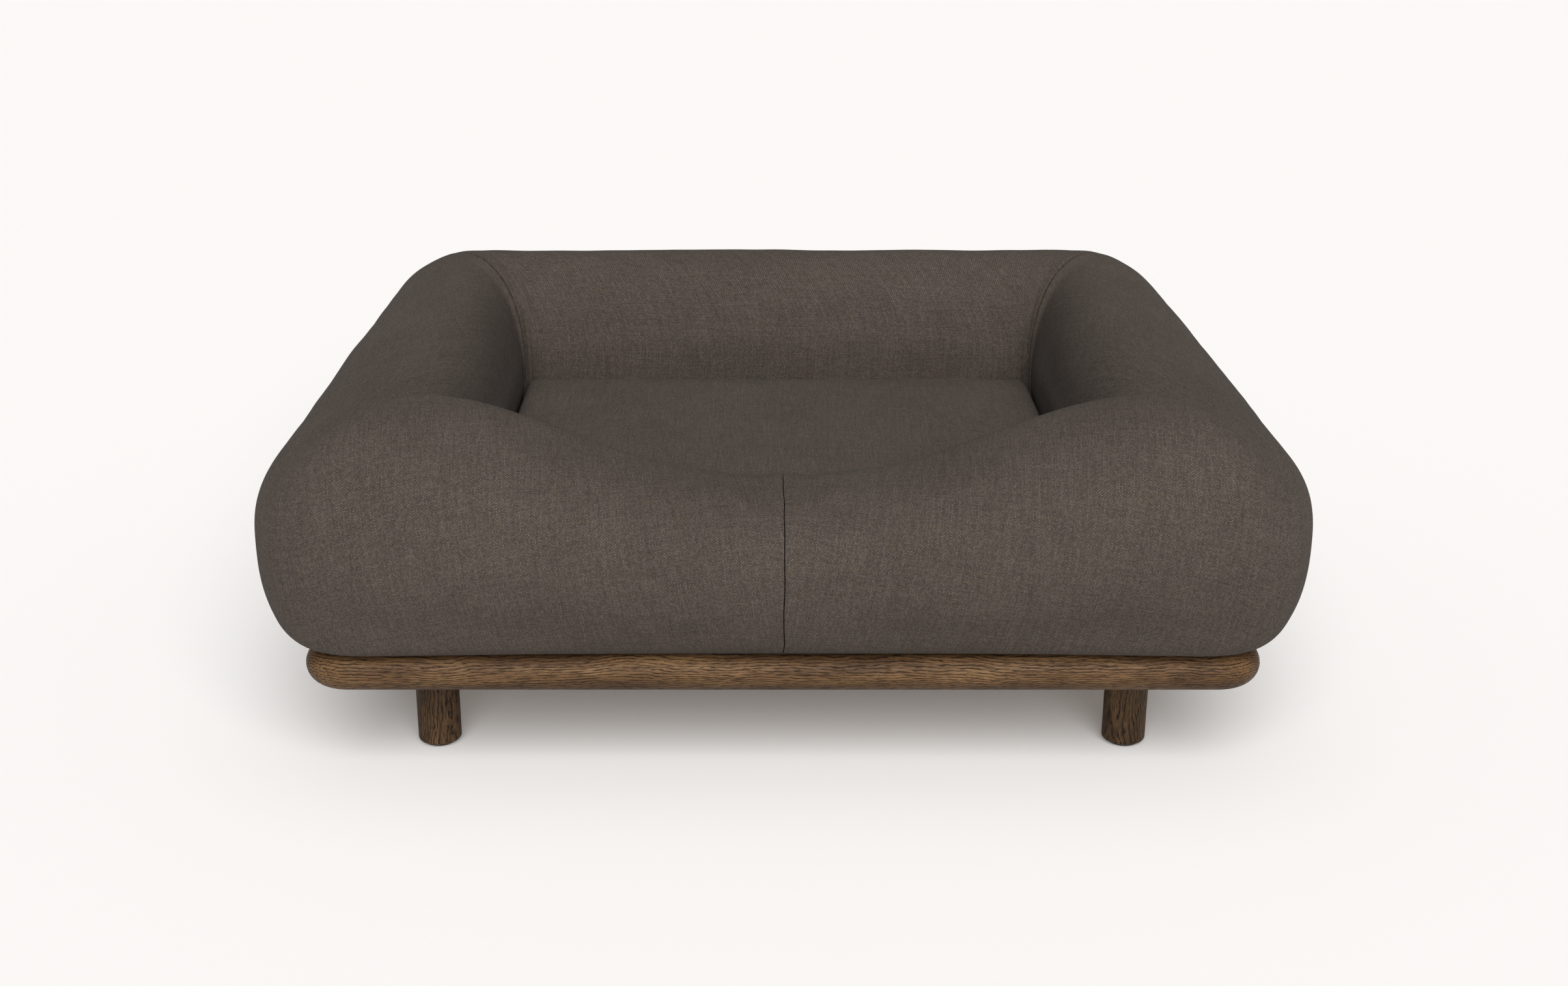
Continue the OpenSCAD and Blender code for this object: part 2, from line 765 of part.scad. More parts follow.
module leg_bolts() {
    color(STEEL)
        at_legs()
            translate([0, 0, leg_h - bolt_in_leg])
                cylinder(d = bolt_d, h = bolt_in_leg + bolt_in_bearer);
}

module leg_inserts() {
    color(STEEL)
        at_legs()
            translate([0, 0, leg_h])
                difference() {
                    cylinder(d = insert_d, h = insert_l);
                    translate([0, 0, -1])
                        cylinder(d = bolt_d + 2 * hole_gap, h = insert_l + 2);
                }
}

module leg_glides() {
    color(FELT)
        at_legs()
            cylinder(d = glide_d, h = glide_t);
}

front_rail();
back_rail();
left_rail();
right_rail();
rail_dowels();
left_bearer();
right_bearer();
bearer_dowels();
for (i = [1 : slat_n])
    slat(i);
slat_screws();
front_left_leg();
front_right_leg();
back_left_leg();
back_right_leg();
leg_bolts();
leg_inserts();
leg_glides();
base_cloth();
left_roll_cover();
right_roll_cover();
back_roll_cover();
left_side_filling();
right_side_filling();
front_left_filling();
front_right_filling();
back_filling();
roll_zip_tape();
roll_zip_coil();
roll_zip_slider();
roll_zip_pull();
seat_cushion_cover();
seat_cushion_filling();
seat_zip_tape();
seat_zip_coil();
seat_zip_slider();
seat_zip_pull();
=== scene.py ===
"""Dog bed on an oak frame: covers, cushion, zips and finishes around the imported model, in metres."""
import math

import bmesh
import bpy
import numpy as np
from mathutils import Euler, Matrix, Vector, noise


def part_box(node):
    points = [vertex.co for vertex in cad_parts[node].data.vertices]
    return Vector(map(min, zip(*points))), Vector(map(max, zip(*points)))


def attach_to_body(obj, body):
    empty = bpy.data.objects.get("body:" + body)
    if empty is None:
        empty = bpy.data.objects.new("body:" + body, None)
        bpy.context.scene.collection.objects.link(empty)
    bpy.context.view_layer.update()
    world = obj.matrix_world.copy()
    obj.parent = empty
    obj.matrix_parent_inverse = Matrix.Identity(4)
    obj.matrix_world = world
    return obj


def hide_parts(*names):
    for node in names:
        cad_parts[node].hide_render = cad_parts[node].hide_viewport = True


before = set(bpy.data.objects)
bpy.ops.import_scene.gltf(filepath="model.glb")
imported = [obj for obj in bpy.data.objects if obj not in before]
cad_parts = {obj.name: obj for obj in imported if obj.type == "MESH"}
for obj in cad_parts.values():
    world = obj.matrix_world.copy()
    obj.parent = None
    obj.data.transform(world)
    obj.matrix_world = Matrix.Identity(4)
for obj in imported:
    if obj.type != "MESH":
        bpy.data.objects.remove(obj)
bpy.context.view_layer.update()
MM = 0.001

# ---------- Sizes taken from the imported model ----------
left_lo, left_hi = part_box("left_roll_cover")
back_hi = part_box("back_roll_cover")[1]
seat_lo, seat_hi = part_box("seat_cushion_cover")
cloth_lo, cloth_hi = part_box("base_cloth")
roll_tape_lo, roll_tape_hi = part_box("roll_zip_tape")
seat_tape_lo, seat_tape_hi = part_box("seat_zip_tape")
CUSHION_GAP = 3 * MM
BED_X = -left_lo.x
BED_Y = back_hi.y
IN_X = seat_hi.x + CUSHION_GAP
IN_Y = seat_hi.y + CUSHION_GAP
RING_Z = left_lo.z
BACK_H = back_hi.z - RING_Z
HUMP_H = left_hi.z - RING_Z
OUTER_TUCK = BED_X - cloth_hi.x

# ---------- Shape of the rolls ----------
SIDE_H = 204 * MM
SADDLE_H = 151 * MM
HUMP_X = 289 * MM
FRONT_R = 88 * MM
BACK_R = 104 * MM
INNER_R = 28 * MM
MITRE_R = 12 * MM
BACK_BELLY = 89 * MM
FRONT_BELLY = 118 * MM
INNER_BELLY = 116 * MM
INNER_TUCK = 42 * MM
CREST = 0.42
FRONT_CREST = 0.48
BOTTOM_FULL = 2.3
FRONT_BOTTOM_FULL = 1.6
INNER_FULL = 2.2
BACK_FULL = 1.8
FRONT_FULL = 2.65
CORNER_FULL = 2.1
# How steeply the front dips to its entrance, and its bellies' greatest share of its height there
DIP_POWER = 1.35
OUTER_BELLY_SHARE = 0.62
INNER_BELLY_SHARE = 0.6
# The share of a front corner's turn where its hump has fallen away, and over how much of the turn
HUMP_END = 0.8
HUMP_FALL = 0.6
# Points round a roll, the distance between cuts along it, and the cuts of the back's straight part
ROUND = 92
PITCH = 8.5 * MM
BACK_CUTS = 68
# Distances of the close cuts from a sewn end: the seam at the front, and a mitre
CLOSE = tuple(d * MM for d in (0, 0.5, 1.2, 2.2, 3.6, 5.6, 8.5))
DEEP = tuple(d * MM for d in (0, 0.8, 2.0, 4.0, 6.6, 10, 14.5, 20, 27))
# How deep a sewn end is drawn in, and over what length
SEAM_END = (0.5 * MM, 1.6 * MM)
MITRE_END = (6 * MM, 15 * MM)
BACK_END = (2.5 * MM, 7 * MM)
SEAM_HALF_GAP = 0.03 * MM
GRAIN_TURN = math.radians(7)


def ease(t):
    s = min(max(t, 0.0), 1.0)
    return s * s * (3 - 2 * s)


def mix(a, b, t):
    return a + (b - a) * t


def arc(cx, cy, r, degrees):
    a = math.radians(degrees)
    return cx + r * math.cos(a), cy + r * math.sin(a)


def front_height(x):
    share = min(abs(x) / HUMP_X, 1) ** DIP_POWER
    return SADDLE_H + (HUMP_H - SADDLE_H) * (1 - math.cos(math.pi * share)) / 2


def side_belly(t):
    return mix((FRONT_BELLY + BACK_BELLY) / 2, BACK_BELLY, t)


# A cut is outer x and y, inner x and y, height, crest share, outer and inner belly, and the fullness
# of its outer shoulder and of its outer lower edge
def front_cut(t):
    x_in = -t * (IN_X - INNER_R)
    h = front_height(x_in)
    return (-t * (BED_X - FRONT_R), -BED_Y, x_in, -IN_Y, h, FRONT_CREST,
            min(FRONT_BELLY, OUTER_BELLY_SHARE * h), min(INNER_BELLY, INNER_BELLY_SHARE * h),
            FRONT_FULL, FRONT_BOTTOM_FULL)


def corner_cut(t):
    angle = 270 - 90 * t
    rise = ease((HUMP_END - t) / HUMP_FALL)
    return (*arc(FRONT_R - BED_X, FRONT_R - BED_Y, FRONT_R, angle),
            *arc(INNER_R - IN_X, INNER_R - IN_Y, INNER_R, angle),
            mix(SIDE_H, HUMP_H, rise), mix(FRONT_CREST, CREST, t),
            mix(FRONT_BELLY, side_belly(0), t), INNER_BELLY,
            mix(FRONT_FULL, CORNER_FULL, math.sin(math.pi * t)),
            mix(FRONT_BOTTOM_FULL, BOTTOM_FULL, ease(2 * t)))


def side_cut(t):
    return (-BED_X, mix(FRONT_R - BED_Y, BED_Y - BACK_R, t),
            -IN_X, mix(INNER_R - IN_Y, IN_Y - MITRE_R, t),
            mix(SIDE_H, BACK_H, t), CREST, side_belly(t), INNER_BELLY,
            mix(FRONT_FULL, BACK_FULL, t), BOTTOM_FULL)


def back_corner_cut(angle):
    return (*arc(BACK_R - BED_X, BED_Y - BACK_R, BACK_R, angle),
            *arc(MITRE_R - IN_X, IN_Y - MITRE_R, MITRE_R, angle),
            BACK_H, CREST, BACK_BELLY, INNER_BELLY, BACK_FULL, BOTTOM_FULL)


def back_cut(outer_x, inner_x):
    return outer_x, BED_Y, inner_x, IN_Y, BACK_H, CREST, BACK_BELLY, INNER_BELLY, BACK_FULL, BOTTOM_FULL


def shares(length, near_start=(), near_end=()):
    """Places along a stretch as shares of its length: even ones, with close ones at a sewn end."""
    lo = near_start[-1] if near_start else 0.0
    hi = near_end[-1] if near_end else 0.0
    count = max(1, round((length - lo - hi) / PITCH))
    even = [(lo + (length - lo - hi) * k / count) / length for k in range(count + 1)]
    start = [d / length for d in near_start[:-1]]
    end = [1 - d / length for d in reversed(near_end[:-1])]
    return start + even + end


def evened(cuts, passes=3):
    """The cuts with their heights, crests, bellies and fullness smoothed along the run."""
    table = np.array(cuts, float)
    for _ in range(passes):
        inner = table[1:-1, 4:]
        table[1:-1, 4:] = inner * 0.5 + (table[:-2, 4:] + table[2:, 4:]) * 0.25
    return table


def left_cuts():
    """From the seam at the middle of the front to the left back corner."""
    front_l = BED_X - FRONT_R
    corner_l = FRONT_R * math.pi / 2
    side_l = 2 * BED_Y - FRONT_R - BACK_R
    mitre_l = BACK_R * math.pi / 4
    cuts = [front_cut(t) for t in shares(front_l, near_start=CLOSE)]
    cuts += [corner_cut(t) for t in shares(corner_l)[1:]]
    cuts += [side_cut(t) for t in shares(side_l)[1:]]
    cuts += [back_corner_cut(180 - 45 * t) for t in shares(mitre_l, near_end=DEEP)[1:]]
    return evened(cuts)


def back_cuts():
    """From the left back corner round to the right one."""
    mitre_l = BACK_R * math.pi / 4
    fan_l = BED_X - BACK_R - (IN_X - MITRE_R)
    corner = [back_corner_cut(135 - 45 * t) for t in shares(mitre_l, near_start=DEEP)]
    fan = [back_cut(mix(BACK_R - BED_X, MITRE_R - IN_X, t), MITRE_R - IN_X) for t in shares(fan_l)[1:]]
    half = corner + fan
    places = [t * (IN_X - MITRE_R) for t in np.linspace(-1, 1, BACK_CUTS)[1:-1]]
    straight = [back_cut(x, x) for x in places]
    right = [(-c[0], c[1], -c[2], *c[3:]) for c in reversed(half)]
    return evened(half + straight + right)


def bow(a, full):
    return np.maximum(a, 0) ** (2 / full)


def walked(points):
    """Distance along a line at each of its points."""
    steps = np.linalg.norm(np.diff(points, axis=0), axis=1)
    return np.concatenate([[0], np.cumsum(steps)])


def roll_outline(cut, inset, arc_points=60):
    """A roll's outline at one cut as (distance from the inner face, height), evenly spaced by length."""
    full_h, crest_share, outer_belly, inner_belly, full, low_full = cut[4:]
    w = math.hypot(cut[0] - cut[2], cut[1] - cut[3]) - 2 * inset
    h = full_h - 2 * inset
    ob = outer_belly - inset
    ib = inner_belly - inset
    crest = w * crest_share
    a = np.linspace(0, math.pi / 2, arc_points)
    s = np.sin(a)
    c = np.cos(a)
    rows = [
        np.stack([w - OUTER_TUCK + OUTER_TUCK * bow(s, low_full), ob * (1 - bow(c, low_full))], 1),
        np.stack([crest + (w - crest) * bow(c, full), ob + (h - ob) * bow(s, full)], 1),
        np.stack([crest * (1 - bow(s, INNER_FULL)), ib + (h - ib) * bow(c, INNER_FULL)], 1),
        np.stack([INNER_TUCK * (1 - bow(c, BOTTOM_FULL)), ib * (1 - bow(s, BOTTOM_FULL))], 1),
    ]
    middle = np.array([[(w - OUTER_TUCK + INNER_TUCK) / 2, 0.0]])
    line = np.concatenate([middle] + rows + [middle]) + inset
    length = walked(line)
    even = np.linspace(0, length[-1], ROUND + 1)
    return np.stack([np.interp(even, length, line[:, i]) for i in (0, 1)], 1)[:-1]


def end_inset(distance, depth, reach):
    """How far a sewn end is drawn in at a distance from its seam: a rounded edge."""
    share = min(distance / reach, 1.0)
    return depth * (1 - math.sqrt(max(0.0, 1 - (1 - share) ** 2)))


def placed_rings(cuts, inset, ends):
    """Rings of points in space for the cuts; ends are (depth, reach) of the first and last seams."""
    walk = walked(cuts[:, :2])
    rings = []
    for i, cut in enumerate(cuts):
        drawn = inset
        for distance, end in ((walk[i], ends[0]), (walk[-1] - walk[i], ends[1])):
            drawn += end_inset(distance, *end)
        line = roll_outline(cut, drawn)
        inner = cut[2:4]
        across = (cut[0:2] - inner) / np.linalg.norm(cut[0:2] - inner)
        plan = inner + line[:, :1] * across
        rings.append(np.column_stack([plan, RING_Z + line[:, 1]]))
    return np.array(rings)


def tube_mesh(name, rings, turn, flip=False):
    """A closed tube through the rings, with the cloth's own lengths as its UV map, turned by an angle."""
    runs, n = rings.shape[:2]
    along = np.zeros((runs, n))
    along[1:] = np.cumsum(np.linalg.norm(np.diff(rings, axis=0), axis=2), axis=0)
    loop = np.concatenate([rings, rings[:, :1]], axis=1)
    around = np.zeros((runs, n + 1))
    around[:, 1:] = np.cumsum(np.linalg.norm(np.diff(loop, axis=1), axis=2), axis=1)
    along = np.concatenate([along, along[:, :1]], axis=1)
    u = along * math.cos(turn) - around * math.sin(turn)
    v = along * math.sin(turn) + around * math.cos(turn)
    faces, uvs = [], []
    for i in range(runs - 1):
        for k in range(n):
            j = (k + 1) % n
            faces.append((i * n + k, i * n + j, (i + 1) * n + j, (i + 1) * n + k))
            uvs += [(u[i, k], v[i, k]), (u[i, k + 1], v[i, k + 1]),
                    (u[i + 1, k + 1], v[i + 1, k + 1]), (u[i + 1, k], v[i + 1, k])]
    for ring, order in ((0, range(n - 1, -1, -1)), (runs - 1, range(n))):
        faces.append(tuple(ring * n + k for k in order))
        uvs += [(u[ring, k], v[ring, k]) for k in order]
    mesh = bpy.data.meshes.new(name)
    points = rings.reshape(-1, 3)
    if flip:
        points = points * np.array([-1, 1, 1])
    mesh.from_pydata(points.tolist(), [], faces)
    layer = mesh.uv_layers.new(name="cloth")
    flat = np.array(uvs, np.float32)
    if flip:
        flat[:, 0] *= -1
    layer.data.foreach_set("uv", flat.ravel())
    face_outwards(mesh)
    return mesh


def face_outwards(mesh):
    """Turns the faces of a closed mesh outwards."""
    bm = bmesh.new()
    bm.from_mesh(mesh)
    bmesh.ops.recalc_face_normals(bm, faces=bm.faces)
    if bm.calc_volume(signed=True) < 0:
        bmesh.ops.reverse_faces(bm, faces=bm.faces)
    bm.to_mesh(mesh)
    bm.free()


def mesh_of(name, bm):
    """The mesh that a bmesh holds, which is then let go."""
    mesh = bpy.data.meshes.new(name)
    bm.to_mesh(mesh)
    bm.free()
    return mesh


def shown(name, mesh):
    piece = bpy.data.objects.new(name, mesh)
    bpy.context.scene.collection.objects.link(piece)
    return piece


def vectors(items, what):
    flat = np.zeros(len(items) * 3)
    items.foreach_get(what, flat)
    return flat.reshape(-1, 3)


def vertices(mesh):
    return vectors(mesh.vertices, "co")


def vertex_normals(mesh):
    return vectors(mesh.vertex_normals, "vector")


def move_vertices(mesh, points):
    mesh.vertices.foreach_set("co", np.asarray(points, np.float32).ravel())
    mesh.update()


def smooth_shaded(mesh):
    mesh.polygons.foreach_set("use_smooth", [True] * len(mesh.polygons))
    mesh.update()


# ---------- Filling the covers ----------
# How far a cover is drawn in before it is filled, and how far it may end from its fitted shape
DRAW_IN = 4 * MM
CUSHION_DRAW_IN = 3 * MM
MAX_STRAY = 2.6 * MM
MAX_GAIN = 3.0
# Simulation steps, and the cloth's settings
FILLING_STEPS = 20
FILLING = {
    "quality": 5,
    "mass": 0.3,
    "tension_stiffness": 20,
    "compression_stiffness": 20,
    "shear_stiffness": 8,
    "bending_stiffness": 1.5,
    "use_pressure": True,
    "uniform_pressure_force": 4.0,
}
# Above the underside, and from a sewn end: where cloth starts to be free, and over what length
FREE_ABOVE = 3 * MM
FREE_RISE = 30 * MM
FREE_FROM_END = 8 * MM
FREE_RUN = 40 * MM


def inflated(mesh, held):
    """The points of a closed cover after air pressure has filled it, with the held points fixed."""
    piece = shown("cover_being_filled", mesh.copy())
    group = piece.vertex_groups.new(name="held")
    group.add([int(i) for i in np.nonzero(held)[0]], 1.0, "REPLACE")
    cloth = piece.modifiers.new("Cloth", "CLOTH")
    for name, value in FILLING.items():
        setattr(cloth.settings, name, value)
    cloth.settings.vertex_group_mass = group.name
    cloth.settings.effector_weights.gravity = 0
    cloth.point_cache.frame_start = 1
    cloth.point_cache.frame_end = FILLING_STEPS
    scene = bpy.context.scene
    for step in range(1, FILLING_STEPS + 1):
        scene.frame_set(step)
    evaluated = piece.evaluated_get(bpy.context.evaluated_depsgraph_get())
    filled = vertices(evaluated.data)
    scratch = piece.data
    bpy.data.objects.remove(piece)
    bpy.data.meshes.remove(scratch)
    scene.frame_set(1)
    return filled


def settled(mesh, wanted, drawn, freedom):
    """Inflates the cover from its drawn-in shape and eases the result towards its fitted shape."""
    move_vertices(mesh, drawn)
    moved = inflated(mesh, freedom <= 0) - drawn
    gap = wanted - drawn
    reach = np.linalg.norm(gap, axis=1)
    out = gap / np.maximum(reach, 1e-9)[:, None]
    swell = (moved * out).sum(1)
    free = freedom > 0.5
    scale = reach[free].mean() / max(swell[free].mean(), 1e-5)
    stray = drawn + moved * min(scale, MAX_GAIN) - wanted
    size = np.linalg.norm(stray, axis=1)
    stray *= (MAX_STRAY * np.tanh(size / MAX_STRAY) / np.maximum(size, 1e-9))[:, None]
    return wanted + stray * freedom[:, None]


def made_plain(piece, modifier):
    """Turns the modifier's result into the piece's own mesh, and removes the modifier."""
    graph = bpy.context.evaluated_depsgraph_get()
    mesh = bpy.data.meshes.new_from_object(piece.evaluated_get(graph))
    piece.modifiers.remove(modifier)
    before = piece.data
    piece.data = mesh
    bpy.data.meshes.remove(before)
    mesh.name = piece.name


def subdivided(piece):
    """The piece with its faces subdivided once, as a plain mesh."""
    finer = piece.modifiers.new("Finer", "SUBSURF")
    finer.levels = 1
    finer.render_levels = 1
    finer.uv_smooth = "PRESERVE_BOUNDARIES"
    made_plain(piece, finer)
    smooth_shaded(piece.data)
    return piece


def attach(piece, body, slot, *nodes):
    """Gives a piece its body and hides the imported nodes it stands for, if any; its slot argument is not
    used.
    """
    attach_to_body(piece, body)
    if nodes:
        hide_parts(*nodes)


def soft_field(points, size, seed):
    """Smooth noise at each point, from about -1 to 1, with bumps of the given size."""
    shift = Vector([seed * step for step in (7.3, 3.1, 1.7)])
    return np.array([noise.noise(Vector(p) / size + shift) for p in points])


# ---------- The zip in the back roll ----------
ZIP_ANGLE = math.radians(50)
ZIP_SIN = math.sin(ZIP_ANGLE)
ZIP_COS = math.cos(ZIP_ANGLE)
ZIP_OUT = ZIP_SIN ** (2 / BOTTOM_FULL)
ZIP_UP = ZIP_COS ** (2 / BOTTOM_FULL)
ZIP_U = BED_Y - IN_Y - OUTER_TUCK + OUTER_TUCK * ZIP_OUT
ZIP_H = BACK_BELLY * (1 - ZIP_UP)
ZIP_LEAN = math.atan2(OUTER_TUCK * ZIP_COS * ZIP_OUT / ZIP_SIN, BACK_BELLY * ZIP_SIN * ZIP_UP / ZIP_COS)
TAPE_T = 1 * MM
TAPE_W = 32 * MM
TAPE_STANDOFF = 0.2 * MM
COIL_T = 1.4 * MM
# The pressed-flat cloth round the tape: how far it reaches up and down and past the tape's ends, its
# depth, and the widths over which it blends into the roll
PRESS_REACH = 34 * MM
PRESS_BLEND = 16 * MM
PRESS_PAST_END = 16 * MM
PRESS_END_BLEND = 12 * MM
PRESS_DEPTH = 30 * MM
PRESS_GAP = 0.15 * MM
ROLL_ZIP_L = roll_tape_hi.x - roll_tape_lo.x
SEAT_ZIP_L = seat_tape_hi.x - seat_tape_lo.x
# From a zip's own frame (tape's face at Y = 0, facing +Y) to the bed's
ROLL_ZIP = (Matrix.Translation((0, IN_Y + ZIP_U, RING_Z + ZIP_H)) @ Matrix.Rotation(-ZIP_LEAN, 4, "X")
            @ Matrix.Translation((0, TAPE_T + TAPE_STANDOFF, 0)))
SEAT_ZIP = Matrix.Translation((0, seat_tape_hi.y, (seat_tape_lo.z + seat_tape_hi.z) / 2))


def beside_zip(points):
    """Presses the back cover flat behind its zip."""
    inverse = np.array(ROLL_ZIP.inverted())
    local = points @ inverse[:3, :3].T + inverse[:3, 3]
    reach = np.abs(local[:, 2])
    ends = np.abs(local[:, 0]) - ROLL_ZIP_L / 2
    near = (np.abs(local[:, 1]) < PRESS_DEPTH) & (reach < PRESS_REACH) & (ends < PRESS_PAST_END)
    flat = -TAPE_T - PRESS_GAP
    blend = np.clip((PRESS_REACH - reach) / PRESS_BLEND, 0, 1)
    blend = blend * np.clip((PRESS_PAST_END - ends) / PRESS_END_BLEND, 0, 1)
    blend = blend * blend * (3 - 2 * blend)
    local[near, 1] = mix(local[near, 1], np.minimum(local[near, 1], flat), blend[near])
    place = np.array(ROLL_ZIP)
    return local @ place[:3, :3].T + place[:3, 3]


# ---------- Covers ----------
# Broad and small swellings of the stuffed cloth: height and size
SWELLINGS = ((1.3 * MM, 95 * MM), (0.5 * MM, 38 * MM))
# Waves beside a seam: height, size along it, how far they reach, and the clear strip on the seam
MITRE_WAVES = (0.9 * MM, 17 * MM, 11 * MM, 2.5 * MM)
FRONT_WAVES = (0.5 * MM, 14 * MM, 9 * MM, 2 * MM)
# The front seam's own waver: height, size along it, and how far the cloth beside it follows
WAVER = (0.9 * MM, 34 * MM, 25 * MM)
WAVER_SEED = 17
# How far from a mitre, from the front seam and from the underside the cloth swells in full
MITRE_CALM = 30 * MM
FRONT_CALM = 22 * MM
LOW_CALM = 25 * MM
WAVER_LOW = 10 * MM


def mitre_distance(points):
    """Distance from the nearer back corner's seam plane, and the place along the seam."""
    plane = (BED_X - BACK_R) - (BED_Y - BACK_R)
    x = np.abs(points[:, 0])
    across = (x - points[:, 1] - plane) / math.sqrt(2)
    along = (x + points[:, 1]) / math.sqrt(2)
    return across, along


def share_of(distance, full):
    """0 at no distance and 1 from the full one on."""
    return np.clip(distance / full, 0, 1)


def seam_waves(places, distance, seed, height, size, reach, clear):
    """Small waves of the cloth beside a seam, which leave the seam itself straight."""
    near = np.exp(-distance / reach) * share_of(distance, clear)
    return soft_field(places, size, seed) * near * height


def stuffed(points, normals, seed, is_back):
    """The points moved along their normals by the swellings and by the waves beside the seams."""
    across, along = mitre_distance(points)
    beside = np.abs(across)
    swell = sum(height * soft_field(points, size, seed + 5 * k) for k, (height, size) in enumerate(SWELLINGS))
    swell = swell * share_of(beside, MITRE_CALM)
    seam = np.column_stack([along, along * 0, points[:, 2]])
    waves = seam_waves(seam, beside, seed + 9, *MITRE_WAVES)
    if not is_back:
        off_middle = np.abs(points[:, 0])
        swell = swell * share_of(off_middle, FRONT_CALM)
        waves = waves + seam_waves(front_seam(points), off_middle, seed + 13, *FRONT_WAVES)
    above = share_of(points[:, 2] - RING_Z, LOW_CALM)
    return points + normals * ((swell + waves) * above)[:, None]


def front_seam(points):
    """The nearest places on the plane of the seam at the middle of the front."""
    return points * np.array([0, 1, 1])


def kept_behind(points, across):
    """The back cover's points, kept on their own side of both mitre seams."""
    side = across > -SEAM_HALF_GAP
    shift = (across + SEAM_HALF_GAP) / math.sqrt(2)
    points[side, 0] -= (np.sign(points[:, 0]) * shift)[side]
    points[side, 1] += shift[side]
    return points


def kept_beside(points, across, seam, half):
    """A side cover's points, kept on their own side of the mitre and of the front seam."""
    side = (across < SEAM_HALF_GAP) & (points[:, 1] > 0)
    shift = (SEAM_HALF_GAP - across) / math.sqrt(2)
    points[side, 0] += (np.sign(points[:, 0]) * shift)[side]
    points[side, 1] -= shift[side]
    points[:, 0] = half * np.maximum(points[:, 0] * half, SEAM_HALF_GAP)
    height, size, reach = WAVER
    waver = height * soft_field(seam, size, WAVER_SEED)
    waver = waver * share_of(points[:, 2] - RING_Z, WAVER_LOW)
    points[:, 0] += waver * np.exp(-np.abs(points[:, 0]) / reach)
    return points


def dress(piece, seed, half=None):
    """Small dips, swellings and puckers of stuffed cloth; half is -1 or 1 on a left or right cover."""
    mesh = piece.data
    fitted = vertices(mesh)
    across = mitre_distance(fitted)[0]
    points = stuffed(fitted, vertex_normals(mesh), seed, half is None)
    if half is None:
        points = kept_behind(beside_zip(points), across)
    else:
        points = kept_beside(points, across, front_seam(fitted), half)
    points[:, 2] = np.maximum(points[:, 2], RING_Z)
    move_vertices(mesh, points)


def free_above(points, floor, rise):
    """How free each point is by its height: 0 on the underside and 1 well above it."""
    return np.clip((points[:, 2] - floor - FREE_ABOVE) / rise, 0, 1)


def filled_tube(name, cuts, ends, turn):
    """A cover's fitted tube, the shape of its rings, and its points after filling."""
    wanted = placed_rings(cuts, 0.0, ends)
    drawn = placed_rings(cuts, DRAW_IN, ends)
    mesh = tube_mesh(name, wanted, turn)
    walk = walked(cuts[:, :2])
    from_start, from_end = (np.clip((d - FREE_FROM_END) / FREE_RUN, 0, 1) for d in (walk, walk[-1] - walk))
    flat = wanted.reshape(-1, 3)
    freedom = free_above(flat, RING_Z, FREE_RISE) * np.repeat(from_start * from_end, ROUND)
    return mesh, wanted.shape, settled(mesh, flat, drawn.reshape(-1, 3), freedom)


def finish_cover(name, mesh, cloth, seed, half, nodes):
    mesh.materials.append(cloth)
    piece = subdivided(shown(name, mesh))
    dress(piece, seed, half)
    attach(piece, "bed", "cover_cloth", *nodes)


def make_side_covers(cloth):
    """The left cover, from the front seam to the back corner, and the right one as its mirror."""
    base, shape, rested = filled_tube("left_cover_base", left_cuts(), (SEAM_END, MITRE_END), GRAIN_TURN)
    for side, seed, half in (("left", 3, -1.0), ("right", 11, 1.0)):
        name = side + "_cover"
        mesh = tube_mesh(name, rested.reshape(shape), GRAIN_TURN, half > 0)
        nodes = (side + "_roll_cover", side + "_side_filling", "front_" + side + "_filling")
        finish_cover(name, mesh, cloth, seed, half, nodes)
    bpy.data.meshes.remove(base)


def make_back_cover(cloth):
    mesh, _, rested = filled_tube("back_cover", back_cuts(), (BACK_END, BACK_END), 0.0)
    move_vertices(mesh, rested)
    finish_cover("back_cover", mesh, cloth, 23, None, ("back_roll_cover", "back_filling"))


# ---------- Seat cushion ----------
CUSHION_X = seat_hi.x
CUSHION_Y = seat_hi.y
CUSHION_Z = seat_lo.z
CUSHION_CROWN = 6 * MM
CUSHION_H = seat_hi.z - seat_lo.z - CUSHION_CROWN
FRONT_CORNER_R = 26 * MM
BACK_CORNER_R = 15 * MM
EDGE_R = 14 * MM
CUSHION_HALF = np.array([CUSHION_X, CUSHION_Y, CUSHION_H / 2])
# The pocket behind the tape: its depth, and the strip of cloth round it that stays flat
POCKET = CUSHION_Y - seat_tape_lo.y + 0.3 * MM
POCKET_RIM_X = 1.2 * MM
POCKET_RIM_Z = 0.2 * MM
POCKET_FLAT_X = 12 * MM
POCKET_FLAT_Z = 10 * MM
# Distance between the cushion's cuts across and up, and the close cuts past the pocket's edges
CUSHION_PITCH = 9 * MM
CUSHION_PITCH_UP = 7 * MM
POCKET_CUTS_X = (1 * MM, 2.5 * MM)
POCKET_CUT_Z = 1.5 * MM
CUSHION_FREE_RISE = 25 * MM
# Where the top's waves start as a share of the height, over what rise, and where its rim starts in plan
TOP_FROM = 0.6
TOP_RISE = 20 * MM
RIM_FROM = 0.86
RIM_WIDTH = 0.1
# Waves of the top and the ripple along its rim: height, size and seed
TOP_WAVES = ((1.5 * MM, 110 * MM, 31), (0.7 * MM, 45 * MM, 37))
RIM_RIPPLE = (1.1 * MM, 30 * MM, 41)
# The seam on the rounded edges: depth, angle up the edge and half width in radians
EDGE_SEAM = (1.2 * MM, 0.7, 0.09)
NOTHING = 1e-12


def stops(half, pitch, breaks=()):
    """Even coordinates from -half to half that also take in the given breaks."""
    marks = sorted({-half, half, *(s * b for b in breaks for s in (-1, 1))})
    line = [marks[0]]
    for a, b in zip(marks, marks[1:]):
        count = max(1, round((b - a) / pitch))
        line += [a + (b - a) * k / count for k in range(1, count + 1)]
    return line


